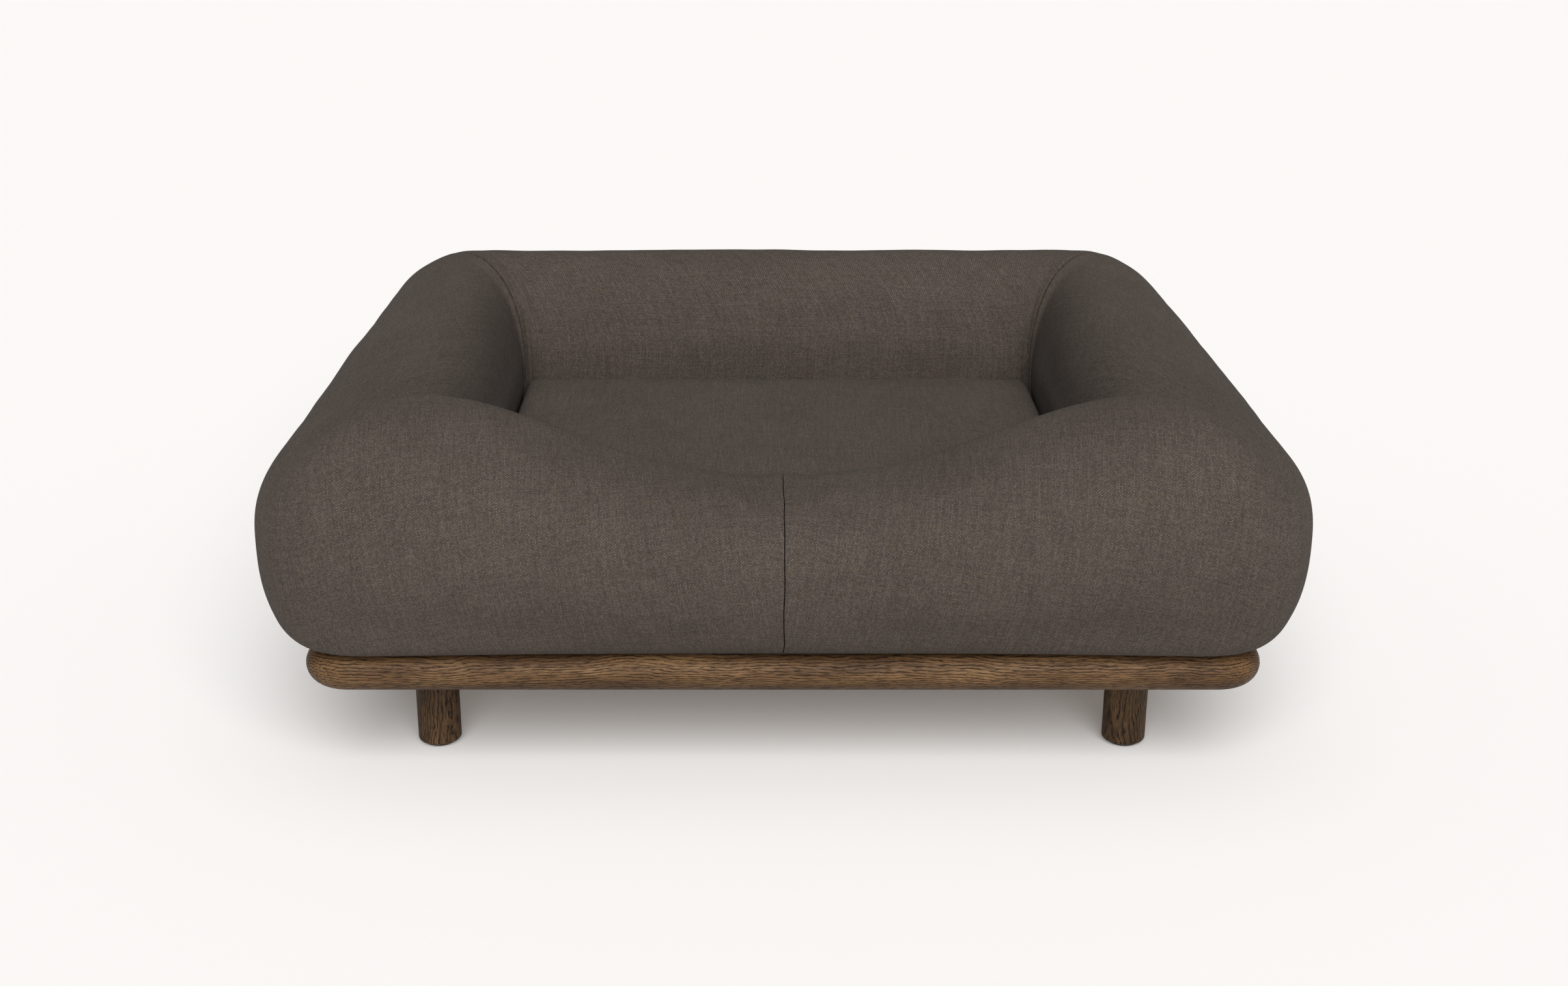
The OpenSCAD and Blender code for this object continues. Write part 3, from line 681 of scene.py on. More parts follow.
def box_shell(name, xs, ys, zs):
    """A closed box of quads on the given coordinate lines, with flat lengths as its UV map."""
    bm = bmesh.new()
    layer = bm.loops.layers.uv.new("cloth")
    found = {}

    def vert(p):
        key = tuple(round(c, 7) for c in p)
        if key not in found:
            found[key] = bm.verts.new(p)
        return found[key]

    def side(rows, cols, at, uv):
        for a, b in zip(rows, rows[1:]):
            for c, d in zip(cols, cols[1:]):
                corners = [(a, c), (b, c), (b, d), (a, d)]
                face = bm.faces.new([vert(at(*p)) for p in corners])
                for loop, p in zip(face.loops, corners):
                    loop[layer].uv = uv(*p)

    for z in (zs[0], zs[-1]):
        side(xs, ys, lambda x, y: (x, y, z), lambda x, y: (x, y))
    for y in (ys[0], ys[-1]):
        side(xs, zs, lambda x, v: (x, y, v), lambda x, v: (x, v + 1))
    for x in (xs[0], xs[-1]):
        side(ys, zs, lambda y, v: (x, y, v), lambda y, v: (y, v + 2))
    mesh = mesh_of(name, bm)
    face_outwards(mesh)
    return mesh


def rounded(points, half):
    """Rounds a box's upright corners in plan and then its top and bottom edges."""
    p = points.copy()
    plan_r = np.where(p[:, 1] > 0, BACK_CORNER_R, FRONT_CORNER_R)
    core = half[:2] - plan_r[:, None]
    held = np.clip(p[:, :2], -core, core)
    spoke = p[:, :2] - held
    size = np.linalg.norm(spoke, axis=1)
    reach = np.maximum(np.abs(spoke).max(1), NOTHING)
    p[:, :2] = held + spoke * (reach / np.maximum(size, NOTHING))[:, None]
    inward = np.where(size > 1e-9, np.maximum(plan_r - reach, 0), plan_r)
    a = np.maximum(EDGE_R - inward, 0)
    b = np.maximum(np.abs(p[:, 2]) - (half[2] - EDGE_R), 0)
    turned = (a > 0) & (b > 0)
    scale = np.where(turned, np.maximum(a, b) / np.maximum(np.hypot(a, b), NOTHING), 1.0)
    direction = spoke / np.maximum(size, NOTHING)[:, None]
    p[:, :2] -= direction * ((a - a * scale) * turned)[:, None]
    p[:, 2] -= np.sign(p[:, 2]) * (b - b * scale) * turned
    return p


def cushion_points(points, inset):
    """The cushion's fitted shape, drawn in by an inset, from the points of its plain box."""
    half = CUSHION_HALF - inset
    p = rounded(points * (half / CUSHION_HALF), half)
    crown = (1 - (p[:, 0] / half[0]) ** 2) * (1 - (p[:, 1] / half[1]) ** 2)
    upper = np.clip(p[:, 2] / half[2], 0, 1) ** 2
    p[:, 2] += (CUSHION_CROWN * 0.97) * np.maximum(crown, 0) ** 0.7 * upper
    return p


def dress_cushion(mesh):
    """Waves of the top, a ripple along its rim, and the seam round the edges."""
    points = vertices(mesh)
    normals = vertex_normals(mesh)
    plan = np.maximum(np.abs(points[:, 0]) / CUSHION_X, np.abs(points[:, 1]) / CUSHION_Y)
    upper = share_of(points[:, 2] - CUSHION_Z - CUSHION_H * TOP_FROM, TOP_RISE)
    wave = sum(height * soft_field(points, size, seed) for height, size, seed in TOP_WAVES)
    height, size, seed = RIM_RIPPLE
    rim = share_of(plan - RIM_FROM, RIM_WIDTH)
    ripple = height * soft_field(points * np.array([1, 1, 0]), size, seed) * rim
    points[:, 2] += (wave + ripple) * upper
    points += normals * (-edge_seam(points))[:, None]
    points[:, :2] = np.clip(points[:, :2], [-CUSHION_X, -CUSHION_Y], [CUSHION_X, CUSHION_Y])
    points[:, 2] = np.maximum(points[:, 2], CUSHION_Z)
    move_vertices(mesh, points)


def make_cushion(cloth):
    zip_x = SEAT_ZIP_L / 2
    zip_z = TAPE_W / 2
    mesh = box_shell(
        "seat_cushion",
        stops(CUSHION_X, CUSHION_PITCH, [zip_x + cut for cut in POCKET_CUTS_X]),
        stops(CUSHION_Y, CUSHION_PITCH),
        stops(CUSHION_H / 2, CUSHION_PITCH_UP, (zip_z, zip_z + POCKET_CUT_Z)),
    )
    flat = vertices(mesh)
    x = np.abs(flat[:, 0]) - zip_x
    z = np.abs(flat[:, 2]) - zip_z
    behind = flat[:, 1] > CUSHION_Y - 1 * MM
    middle = np.array([0, 0, CUSHION_Z + CUSHION_H / 2])
    wanted = cushion_points(flat, 0.0) + middle
    drawn = cushion_points(flat, CUSHION_DRAW_IN) + middle
    freedom = free_above(wanted, CUSHION_Z, CUSHION_FREE_RISE)
    freedom[(x < POCKET_FLAT_X) & (z < POCKET_FLAT_Z) & behind] = 0
    rested = settled(mesh, wanted, drawn, freedom)
    rested[(x < POCKET_RIM_X) & (z < POCKET_RIM_Z) & behind, 1] = CUSHION_Y - POCKET
    move_vertices(mesh, rested)
    mesh.materials.append(cloth)
    piece = subdivided(shown("seat_cushion", mesh))
    dress_cushion(piece.data)
    attach(piece, "cushion", "cover_cloth", "seat_cushion_cover", "seat_cushion_filling")


def edge_seam(points):
    """Depth of the seam that runs round the cushion's upper and lower edges."""
    x = np.abs(points[:, 0]) - (CUSHION_X - EDGE_R)
    y = np.abs(points[:, 1]) - (CUSHION_Y - EDGE_R)
    out = np.maximum(np.maximum(x, y), 0)
    rise = np.abs(points[:, 2] - CUSHION_Z - CUSHION_H / 2) - (CUSHION_H / 2 - EDGE_R)
    angle = np.arctan2(np.maximum(rise, 0), np.maximum(out, 1e-6))
    on_edge = (out > EDGE_R * 0.3) & (rise > EDGE_R * 0.3)
    depth, at, width = EDGE_SEAM
    return np.where(on_edge, depth * np.exp(-((angle - at) / width) ** 2), 0.0)


# ---------- Materials ----------
def add(tree, kind, ins=None, **props):
    """A node with its properties set and its inputs filled or linked."""
    made = tree.nodes.new(kind)
    for key, value in props.items():
        setattr(made, key, value)
    for key, value in (ins or {}).items():
        socket = made.inputs[key]
        if isinstance(value, bpy.types.NodeSocket):
            tree.links.new(value, socket)
        else:
            socket.default_value = value
    return made


def sum_of(tree, operation, *values):
    return add(tree, "ShaderNodeMath", dict(enumerate(values)), operation=operation).outputs[0]


def times(tree, a, b):
    return sum_of(tree, "MULTIPLY", a, b)


def scaled(tree, value, factor, extra):
    return sum_of(tree, "MULTIPLY_ADD", value, factor, extra)


def either(tree, share, a, b):
    return add(tree, "ShaderNodeMix", {0: share, 2: a, 3: b}, data_type="FLOAT").outputs[0]


def blend_of(tree, share, a, b, how="MIX"):
    made = add(tree, "ShaderNodeMix", data_type="RGBA", blend_type=how)
    for socket, value in ((made.inputs[0], share), (made.inputs[6], a), (made.inputs[7], b)):
        if isinstance(value, bpy.types.NodeSocket):
            tree.links.new(value, socket)
        elif socket.type == "RGBA":
            socket.default_value = (*value[:3], 1)
        else:
            socket.default_value = value
    return made.outputs[2]


def ramp_of(tree, value, stops_at):
    """A ramp of grey levels or colours over the value."""
    made = add(tree, "ShaderNodeValToRGB", {0: value})
    while len(made.color_ramp.elements) < len(stops_at):
        made.color_ramp.elements.new(0.5)
    for element, (place, tone) in zip(made.color_ramp.elements, stops_at):
        element.position = place
        element.color = (*tone, 1) if hasattr(tone, "__len__") else (tone, tone, tone, 1)
    return made.outputs[0]


def noise_of(tree, vector, scale, detail=2.0, rough=0.5, kind="3D"):
    made = add(tree, "ShaderNodeTexNoise", {"Vector": vector, "Scale": scale, "Detail": detail,
                                            "Roughness": rough}, noise_dimensions=kind)
    return made.outputs["Fac"]


def new_material(name):
    material = bpy.data.materials.new(name)
    material.use_nodes = True
    tree = material.node_tree
    tree.nodes.clear()
    shader = add(tree, "ShaderNodeBsdfPrincipled")
    add(tree, "ShaderNodeOutputMaterial", {"Surface": shader.outputs[0]})
    return material, tree, shader


def own_place(tree):
    return add(tree, "ShaderNodeTexCoord").outputs["Object"]


def toned(tree, value, tone, *stops_at):
    """The tone made darker or lighter along the value, by (place, factor) stops."""
    return ramp_of(tree, value, [(place, tuple(c * k for c in tone)) for place, k in stops_at])


def wire(tree, shader, colour, rough, relief, strength, depth, plain=()):
    """Links a shader's colour and roughness, raises it by the relief, and sets its plain inputs."""
    bump = add(tree, "ShaderNodeBump", {"Strength": strength, "Distance": depth, "Height": relief})
    for socket, value in (("Base Color", colour), ("Roughness", rough), ("Normal", bump.outputs[0])):
        tree.links.new(value, shader.inputs[socket])
    for socket, value in plain:
        shader.inputs[socket].default_value = value


def srgb(r, g, b):
    """Linear colour from 0 to 255 display values."""
    line = []
    for c in (r, g, b):
        c /= 255
        line.append(c / 12.92 if c <= 0.04045 else ((c + 0.055) / 1.055) ** 2.4)
    return tuple(line)


YARN = 1.3 * MM
# How far a yarn strays from its line, in yarns, the painted shade from a yarn's sides to its middle, which is
# a little lighter, and the tones of the yarns that pass over or under
YARN_WAVER = 0.7
YARN_SHADE = ((0.0, 0.42), (0.4, 0.90), (1.0, 1.16))
CROSSING_SHADE = ((0.0, 0.80), (1.0, 1.18))
FLECK_SHARE = ((0.62, 0.0), (0.78, 0.35))
WEAVE_RELIEF = 0.3 * MM


def woven_cloth(name, dark, middle, light, fleck):
    """Plain weave of melange yarns, drawn on the cloth's own lengths."""
    material, tree, shader = new_material(name)
    uv = add(tree, "ShaderNodeUVMap", uv_map="cloth").outputs[0]
    split = add(tree, "ShaderNodeSeparateXYZ", {0: uv})
    warp = add(tree, "ShaderNodeVectorMath", {0: uv, "Scale": 1 / YARN}, operation="SCALE").outputs[0]
    waver = noise_of(tree, warp, 0.09, 1.0, 0.5, "2D")
    along_u = scaled(tree, split.outputs[0], 1 / YARN, times(tree, waver, YARN_WAVER))
    along_v = scaled(tree, split.outputs[1], 1 / YARN, times(tree, waver, -YARN_WAVER))
    iu = sum_of(tree, "FLOOR", along_u)
    iv = sum_of(tree, "FLOOR", along_v)
    over = sum_of(tree, "FLOORED_MODULO", sum_of(tree, "ADD", iu, iv), 2.0)

    def round_of(value):
        """A yarn's rounded section: 0 at its sides and 1 at its middle."""
        centred = scaled(tree, sum_of(tree, "FRACT", value), 2.0, -1.0)
        return scaled(tree, times(tree, centred, centred), -1.0, 1.0)

    ru = round_of(along_u)
    rv = round_of(along_v)
    height = either(tree, over, times(tree, rv, scaled(tree, ru, 0.6, 0.4)),
                    times(tree, ru, scaled(tree, rv, 0.6, 0.4)))

    def at(*parts):
        return add(tree, "ShaderNodeCombineXYZ", dict(enumerate(parts))).outputs[0]

    def yarn_tone(index, other, shift):
        """A tone of each yarn's own, which changes slowly along it."""
        return noise_of(tree, at(times(tree, index, 3.71), times(tree, other, 0.035), shift), 1.0, 1.0, 0.5)

    tone = either(tree, over, yarn_tone(iv, along_u, 3.7), yarn_tone(iu, along_v, 11.3))
    cell = add(tree, "ShaderNodeTexWhiteNoise", {"Vector": at(iu, iv)}, noise_dimensions="2D")
    speck = cell.outputs["Value"]
    drift = noise_of(tree, own_place(tree), 9.0, 3.0, 0.5)
    value = scaled(tree, tone, 0.27, times(tree, speck, 0.15))
    value = sum_of(tree, "ADD", value, scaled(tree, drift, 0.08, 0.25))
    colour = ramp_of(tree, value, [(0.28, dark), (0.50, middle), (0.72, light)])
    ochre = noise_of(tree, at(times(tree, iu, 0.13), times(tree, iv, 1.31), 4.4), 1.0, 1.0)
    flecked = ramp_of(tree, ochre, FLECK_SHARE)
    colour = blend_of(tree, flecked, colour, fleck)
    # Painted shade between the yarns: darker at their sides, a little lighter at their middles
    shade = ramp_of(tree, height, YARN_SHADE)
    colour = blend_of(tree, 1.0, colour, shade, "MULTIPLY")
    colour = blend_of(tree, 1.0, colour, ramp_of(tree, over, CROSSING_SHADE), "MULTIPLY")
    fuzz = noise_of(tree, warp, 3.5, 2.0, 0.6, "2D")
    relief = sum_of(tree, "ADD", height, times(tree, fuzz, 0.15))
    wire(tree, shader, colour, scaled(tree, tone, 0.15, 0.82), relief, 0.5, WEAVE_RELIEF,
         (("Sheen Weight", 0.02), ("Sheen Roughness", 0.5), ("Specular IOR Level", 0.06)))
    return material


# How a board's growth rings wander, by a broad bend, a wobble and a fine jitter: frequency across and
# along the grain, shift, detail, roughness and reach
RING_WANDER = (
    (3.2, 2.6, 0.0, 1.5, 0.45, 34 * MM),
    (30, 16, 2.0, 2.5, 0.55, 11 * MM),
    (380, 120, 3.0, 2.0, 0.6, 1.9 * MM),
)
# The early and late wood across a ring, the cut of the pores and flecks, and the tones' places
EARLY_WOOD = ((0.0, 0.0), (0.10, 1.0), (0.24, 0.9), (0.42, 0.0))
RING_GROWTH = ((0.0, 0.6), (0.18, 1.0), (0.60, 0.25), (1.0, 0.0))
PORE_CUT = ((0.40, 0.0), (0.50, 1.0))
FLECK_CUT = ((0.52, 0.0), (0.62, 1.0))
# Painted shade that darkens a rail towards its lower edge, where it faces down: the height it fades over, and
# its factors
PAINTED_SHADE_RISE = 20 * MM
PAINTED_SHADE_FACTORS = ((0.0, 0.55), (1.0, 1.0))
WOOD_RELIEF = 0.3 * MM


def oak(name, grain, pith, tones, ring, seed, edge=None):
    """Stained oak: growth rings round a pith, lines of open pores, and painted shade darkening towards a
    given lower edge.
    """
    material, tree, shader = new_material(name)
    place = own_place(tree)
    turn = {"X": (0, math.pi / 2, 0), "Y": (math.pi / 2, 0, 0), "Z": (0, 0, 0)}[grain]
    centred = add(tree, "ShaderNodeVectorMath", {0: place, 1: pith}, operation="SUBTRACT").outputs[0]
    turned = add(tree, "ShaderNodeVectorRotate", {0: centred, "Rotation": turn}, rotation_type="EULER_XYZ")
    board = turned.outputs[0]

    def grained(across, along, shift, detail, rough):
        """Noise stretched along the grain, by its frequencies across and along it."""
        placed = add(tree, "ShaderNodeMapping", {
            "Vector": board,
            "Scale": (across, across, along),
            "Location": (seed + shift, seed * 0.7, shift),
        })
        return noise_of(tree, placed.outputs[0], 1.0, detail, rough)

    flat = add(tree, "ShaderNodeVectorMath", {0: board, 1: (1, 1, 0)}, operation="MULTIPLY").outputs[0]
    radius = add(tree, "ShaderNodeVectorMath", {0: flat}, operation="LENGTH").outputs["Value"]
    for *wander, reach in RING_WANDER:
        radius = scaled(tree, grained(*wander), reach, radius)
    phase = sum_of(tree, "FRACT", sum_of(tree, "DIVIDE", radius, ring))
    early = ramp_of(tree, phase, EARLY_WOOD)
    growth = ramp_of(tree, phase, RING_GROWTH)
    pores = grained(760, 62, 5.0, 1.0, 0.5)
    flecks = grained(1300, 110, 9.0, 1.0, 0.5)
    fibre = grained(1700, 40, 1.0, 2.0, 0.6)
    mottle = grained(60, 9, 7.0, 2.0, 0.5)
    open_pore = times(tree, ramp_of(tree, pores, PORE_CUT), early)
    fleck = times(tree, ramp_of(tree, flecks, FLECK_CUT), 0.6)
    dark = sum_of(tree, "MAXIMUM", open_pore, fleck)
    body = sum_of(tree, "ADD", times(tree, fibre, 0.4), times(tree, mottle, 0.6))
    body = scaled(tree, growth, -0.10, body)
    deep, low, mid, high = tones
    colour = ramp_of(tree, body, [(0.26, low), (0.44, mid), (0.62, high)])
    colour = blend_of(tree, times(tree, dark, 0.95), colour, deep)
    # Painted shade: the colour darkens towards the lower edge, where the rail faces down
    if edge:
        height = add(tree, "ShaderNodeSeparateXYZ", {0: place}).outputs[2]
        share = sum_of(tree, "DIVIDE", sum_of(tree, "SUBTRACT", height, edge), PAINTED_SHADE_RISE)
        colour = blend_of(tree, 1.0, colour, ramp_of(tree, share, PAINTED_SHADE_FACTORS), "MULTIPLY")
    rough = scaled(tree, dark, 0.25, scaled(tree, fibre, 0.15, 0.42))
    relief = sum_of(tree, "SUBTRACT", times(tree, fibre, 0.2), dark)
    wire(tree, shader, colour, rough, relief, 0.7, WOOD_RELIEF, (("Specular IOR Level", 0.2),))
    return material


def felt(name, tone):
    """Pressed wool felt: a mat of short fibres."""
    material, tree, shader = new_material(name)
    place = own_place(tree)
    mat = noise_of(tree, place, 900, 4.0, 0.7)
    cloud = noise_of(tree, place, 60, 3.0, 0.5)
    colour = toned(tree, scaled(tree, cloud, 0.4, times(tree, mat, 0.6)), tone, (0.3, 0.55), (0.7, 1.5))
    wire(tree, shader, colour, scaled(tree, mat, 0.1, 0.88), mat, 0.6, 0.4 * MM, (("Sheen Weight", 0.2),))
    return material


def fine_weave(name, tone, pitch, vertical):
    """Close plain weave of tape or backing cloth, on Object coordinates, with painted shade where its yarns
    dip.
    """
    material, tree, shader = new_material(name)
    place = own_place(tree)
    split = add(tree, "ShaderNodeSeparateXYZ", {0: place}).outputs
    across = [sum_of(tree, "DIVIDE", split[axis], pitch) for axis in ("X", "Z" if vertical else "Y")]
    cells = [sum_of(tree, "FLOOR", value) for value in across]
    over = sum_of(tree, "FLOORED_MODULO", sum_of(tree, "ADD", *cells), 2.0)
    waves = [sum_of(tree, "SINE", times(tree, sum_of(tree, "FRACT", value), math.pi)) for value in across]
    height = either(tree, over, *waves)
    cloud = noise_of(tree, place, 260, 3.0, 0.6)
    # The colour is half the weave's height, painted shade where the yarns dip, and half a random cloud
    colour = toned(tree, scaled(tree, height, 0.5, times(tree, cloud, 0.5)), tone, (0.2, 0.5), (0.9, 1.6))
    wire(tree, shader, colour, scaled(tree, cloud, 0.2, 0.7), height, 0.7, pitch * 0.3)
    return material


def metal(name, tone, rough):
    """Plated steel with fine scratches and dulling."""
    material, tree, shader = new_material(name)
    place = own_place(tree)
    lines = add(tree, "ShaderNodeMapping", {"Vector": place, "Scale": (900, 5200, 5200)}).outputs[0]
    scratch = noise_of(tree, lines, 1.0, 2.0, 0.6)
    dull = noise_of(tree, place, 130, 3.0, 0.6)
    colour = toned(tree, dull, tone, (0.3, 0.75), (0.7, 1.1))
    worn = scaled(tree, scratch, 0.18, scaled(tree, dull, 0.2, rough - 0.15))
    wire(tree, shader, colour, worn, scratch, 0.15, 0.05 * MM, (("Metallic", 1.0),))
    return material


def plastic(name, tone, rough):
    """Moulded nylon or rubber with a faint orange-peel."""
    material, tree, shader = new_material(name)
    place = own_place(tree)
    peel = noise_of(tree, place, 1400, 2.0, 0.5)
    cloud = noise_of(tree, place, 90, 3.0, 0.5)
    colour = toned(tree, cloud, tone, (0.3, 0.8), (0.7, 1.25))
    wire(tree, shader, colour, scaled(tree, peel, 0.15, rough), peel, 0.3, 0.06 * MM)
    return material


CLOTH_TONES = (srgb(47, 42, 37), srgb(79, 71, 65), srgb(106, 98, 90), srgb(96, 80, 58))
OAK_TONES = (srgb(24, 14, 7), srgb(71, 49, 29), srgb(96, 70, 44), srgb(126, 96, 64))
# The legs are the rails' oak made darker: painted shade from the bed above them
SHADED_LEG_TONES = (srgb(18, 11, 6), srgb(53, 37, 22), srgb(73, 53, 33), srgb(98, 73, 48))
INSIDE_TONES = (srgb(78, 56, 36), srgb(140, 108, 74), srgb(170, 136, 98), srgb(192, 160, 120))


# Width of a growth ring in the rails, the legs and the boards inside
RAIL_RING = 2.4 * MM
LEG_RING = 1.9 * MM
INSIDE_RING = 3.6 * MM
# Each piece's grain, and its board's pith in millimetres from the middle of its box
OUTSIDE_WOOD = (
    ("front_rail", "X", (0, -28, -34)),
    ("back_rail", "X", (0, 28, -30)),
    ("left_rail", "Y", (-29, 0, -34)),
    ("right_rail", "Y", (27, 0, -32)),
    ("front_left_leg", "Z", (-20, 15, 0)),
    ("front_right_leg", "Z", (18, 17, 0)),
    ("back_left_leg", "Z", (20, -15, 0)),
    ("back_right_leg", "Z", (-18, -17, 0)),
)
INSIDE_WOOD = (
    ("left_bearer", "Y", (30, 0, -40)),
    ("right_bearer", "Y", (-30, 0, -40)),
    ("rail_dowels", "Y", (20, 0, 30)),
    ("bearer_dowels", "Y", (20, 0, 30)),
)


def finish_wood():
    """Each rail, leg, bearer and slat is cut from its own place in a board, along its own length."""
    for k, (node, grain, pith) in enumerate(OUTSIDE_WOOD):
        where = beside(node, pith)
        seed = 1.7 * k + 0.4
        if grain == "Z":
            # Legs take the darker tones: painted shade under the bed
            wood = oak("oak_" + node, grain, where, SHADED_LEG_TONES, LEG_RING, seed)
        else:
            # Rails get painted shade towards their lower edge, the bottom of their box
            wood = oak("oak_" + node, grain, where, OAK_TONES, RAIL_RING, seed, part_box(node)[0].z)
        dress_node(node, wood)
    slats = sorted(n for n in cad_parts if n.startswith("slat_") and n != "slat_screws")
    boards = [(node, "X", (0, 20 * math.sin(k * 2.1), -30 - 10 * (k % 3))) for k, node in enumerate(slats)]
    for k, (node, grain, pith) in enumerate([*INSIDE_WOOD, *boards]):
        where = beside(node, pith)
        dress_node(node, oak("oak_inside_" + node, grain, where, INSIDE_TONES, INSIDE_RING, 20 + 2.3 * k))


def beside(node, millimetres):
    """A point given in millimetres from the middle of a node's box."""
    lo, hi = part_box(node)
    return tuple((lo + hi) / 2 + Vector(millimetres) * MM)


def dress_node(node, material):
    """Gives a carried-over piece its material, in the slots it already has."""
    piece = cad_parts[node]
    if not piece.material_slots:
        piece.data.materials.append(material)
    for place in piece.material_slots:
        place.material = material


# ---------- Repeated small pieces, by Geometry Nodes ----------
def bead_tree():
    """Beads set along the lines of a mesh: spacing, size, a little random turn, and their material."""
    tree = bpy.data.node_groups.new("beads_along_lines", "GeometryNodeTree")
    for name, way, kind in (
        ("Geometry", "INPUT", "Geometry"),
        ("Spacing", "INPUT", "Float"),
        ("Size", "INPUT", "Vector"),
        ("Turn", "INPUT", "Float"),
        ("Seed", "INPUT", "Int"),
        ("Faces", "INPUT", "Int"),
        ("Material", "INPUT", "Material"),
        ("Geometry", "OUTPUT", "Geometry"),
    ):
        tree.interface.new_socket(name, in_out=way, socket_type="NodeSocket" + kind)
    given = add(tree, "NodeGroupInput").outputs
    curve = add(tree, "GeometryNodeMeshToCurve", {"Mesh": given["Geometry"]}).outputs[0]
    even = add(tree, "GeometryNodeResampleCurve", {"Curve": curve})
    if hasattr(even, "mode"):
        even.mode = "LENGTH"
    tree.links.new(given["Spacing"], even.inputs["Length"])
    ball = add(tree, "GeometryNodeMeshUVSphere", {"Segments": given["Faces"], "Rings": 5, "Radius": 0.5})
    tangent = add(tree, "GeometryNodeInputTangent").outputs[0]
    lined = add(tree, "FunctionNodeAlignRotationToVector", {"Vector": tangent}, axis="X").outputs[0]
    draw = add(tree, "FunctionNodeRandomValue", {"Seed": given["Seed"], 2: -1.0, 3: 1.0}, data_type="FLOAT")
    turn = times(tree, draw.outputs[1], given["Turn"])
    angles = add(tree, "ShaderNodeCombineXYZ", {2: turn}).outputs[0]
    spun = add(tree, "FunctionNodeEulerToRotation", {0: angles})
    rotation = add(tree, "FunctionNodeRotateRotation", {0: lined, 1: spun.outputs[0]}).outputs[0]
    set_out = add(tree, "GeometryNodeInstanceOnPoints", {
        "Points": even.outputs[0],
        "Instance": ball.outputs[0],
        "Rotation": rotation,
        "Scale": given["Size"],
    })
    real = add(tree, "GeometryNodeRealizeInstances", {0: set_out.outputs[0]}).outputs[0]
    smooth = add(tree, "GeometryNodeSetShadeSmooth", {0: real}).outputs[0]
    tinted = add(tree, "GeometryNodeSetMaterial", {"Geometry": smooth, "Material": given["Material"]})
    add(tree, "NodeGroupOutput", {0: tinted.outputs[0]})
    return tree


def beads(name, lines, place, **values):
    """One piece of beads along the lines, placed in the bed's frame; values fill the tree's inputs."""
    points, edges = [], []
    for line in lines:
        edges += [(len(points) + k, len(points) + k + 1) for k in range(len(line) - 1)]
        points += [tuple(p) for p in line]
    carrier = bpy.data.meshes.new(name + "_lines")
    carrier.from_pydata(points, edges, [])
    piece = shown(name, carrier)
    repeat = piece.modifiers.new("Beads", "NODES")
    repeat.node_group = BEADS
    for item in BEADS.interface.items_tree:
        if item.in_out == "INPUT" and item.name in values:
            repeat[item.identifier] = values[item.name]
    made_plain(piece, repeat)
    piece.data.transform(place)
    return piece


# The coil's teeth: pitch, size, and how far each row's middle lies from the zip's
TOOTH_PITCH = 1.35 * MM
TOOTH_SIZE = (0.85 * MM, COIL_T, 2.5 * MM)
TOOTH_ROW = 0.75 * MM
ZIP_END = 1.5 * MM
# The tape's stitches: pitch, size, and their lines' distances from the zip's middle
TAPE_STITCH_PITCH = 3.2 * MM
TAPE_STITCH = (2.4 * MM, 0.5 * MM, 0.5 * MM)
TAPE_STITCH_LINES = (9.5 * MM, 12 * MM)
STITCH_PROUD = 0.1 * MM


def make_zip(name, length, place, body, coil_node, thread, nylon):
    """The coil's teeth, in two rows that lock over each other, and the stitches that hold the tape."""
    half = length / 2 - ZIP_END
    high = COIL_T / 2
    rows = [[(-half + shift, high, side * TOOTH_ROW), (half + shift, high, side * TOOTH_ROW)]
            for side, shift in ((-1, 0.0), (1, TOOTH_PITCH / 2))]
    teeth = beads(name + "_teeth", rows, place, Spacing=TOOTH_PITCH, Size=TOOTH_SIZE, Turn=0.0, Seed=1,
                  Faces=6, Material=nylon)
    attach(teeth, body, "zip_coil", coil_node)
    lines = [[(-half, STITCH_PROUD, side * d), (half, STITCH_PROUD, side * d)]
             for d in TAPE_STITCH_LINES for side in (-1, 1)]
    sewn = beads(name + "_stitches", lines, place, Spacing=TAPE_STITCH_PITCH, Size=TAPE_STITCH, Turn=0.06,
                 Seed=4, Faces=6, Material=thread)
    attach(sewn, body, "zip_tape")


# ---------- Base cloth ----------
GRIP_HALF_X = cloth_hi.x
GRIP_HALF_Y = cloth_hi.y
# The cloth's sheet away from its hem: half its thickness above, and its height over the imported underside
GRIP_THICK = 0.5 * MM
GRIP_UNDER = 0.15 * MM
# The hem's stitches: distance from the edge, pitch and size
HEM_IN = 7 * MM
HEM_PITCH = 4 * MM
HEM_STITCH = (3 * MM, 0.6 * MM, 0.3 * MM)
HEM_PROUD = 0.05 * MM
# The dots: spacing, size, clear margin, and how far their middles lie inside the cloth
DOT_STEP = 16 * MM
DOT_SIZE = (3 * MM, 3 * MM, 0.7 * MM)
DOT_MARGIN = 22 * MM
DOT_SUNK = 0.1 * MM
HERE = Matrix.Identity(4)


def plate_line(inset, steps=12):
    """The grip cloth's outline in plan, drawn in by an inset."""
    radius = FRONT_R - inset
    x = GRIP_HALF_X - inset - radius
    y = GRIP_HALF_Y - inset - radius
    line = []
    for quarter, (sx, sy) in enumerate(((1, 1), (-1, 1), (-1, -1), (1, -1))):
        for k in range(steps + 1):
            line.append(arc(sx * x, sy * y, radius, 90 * quarter + 90 * k / steps))
    return line


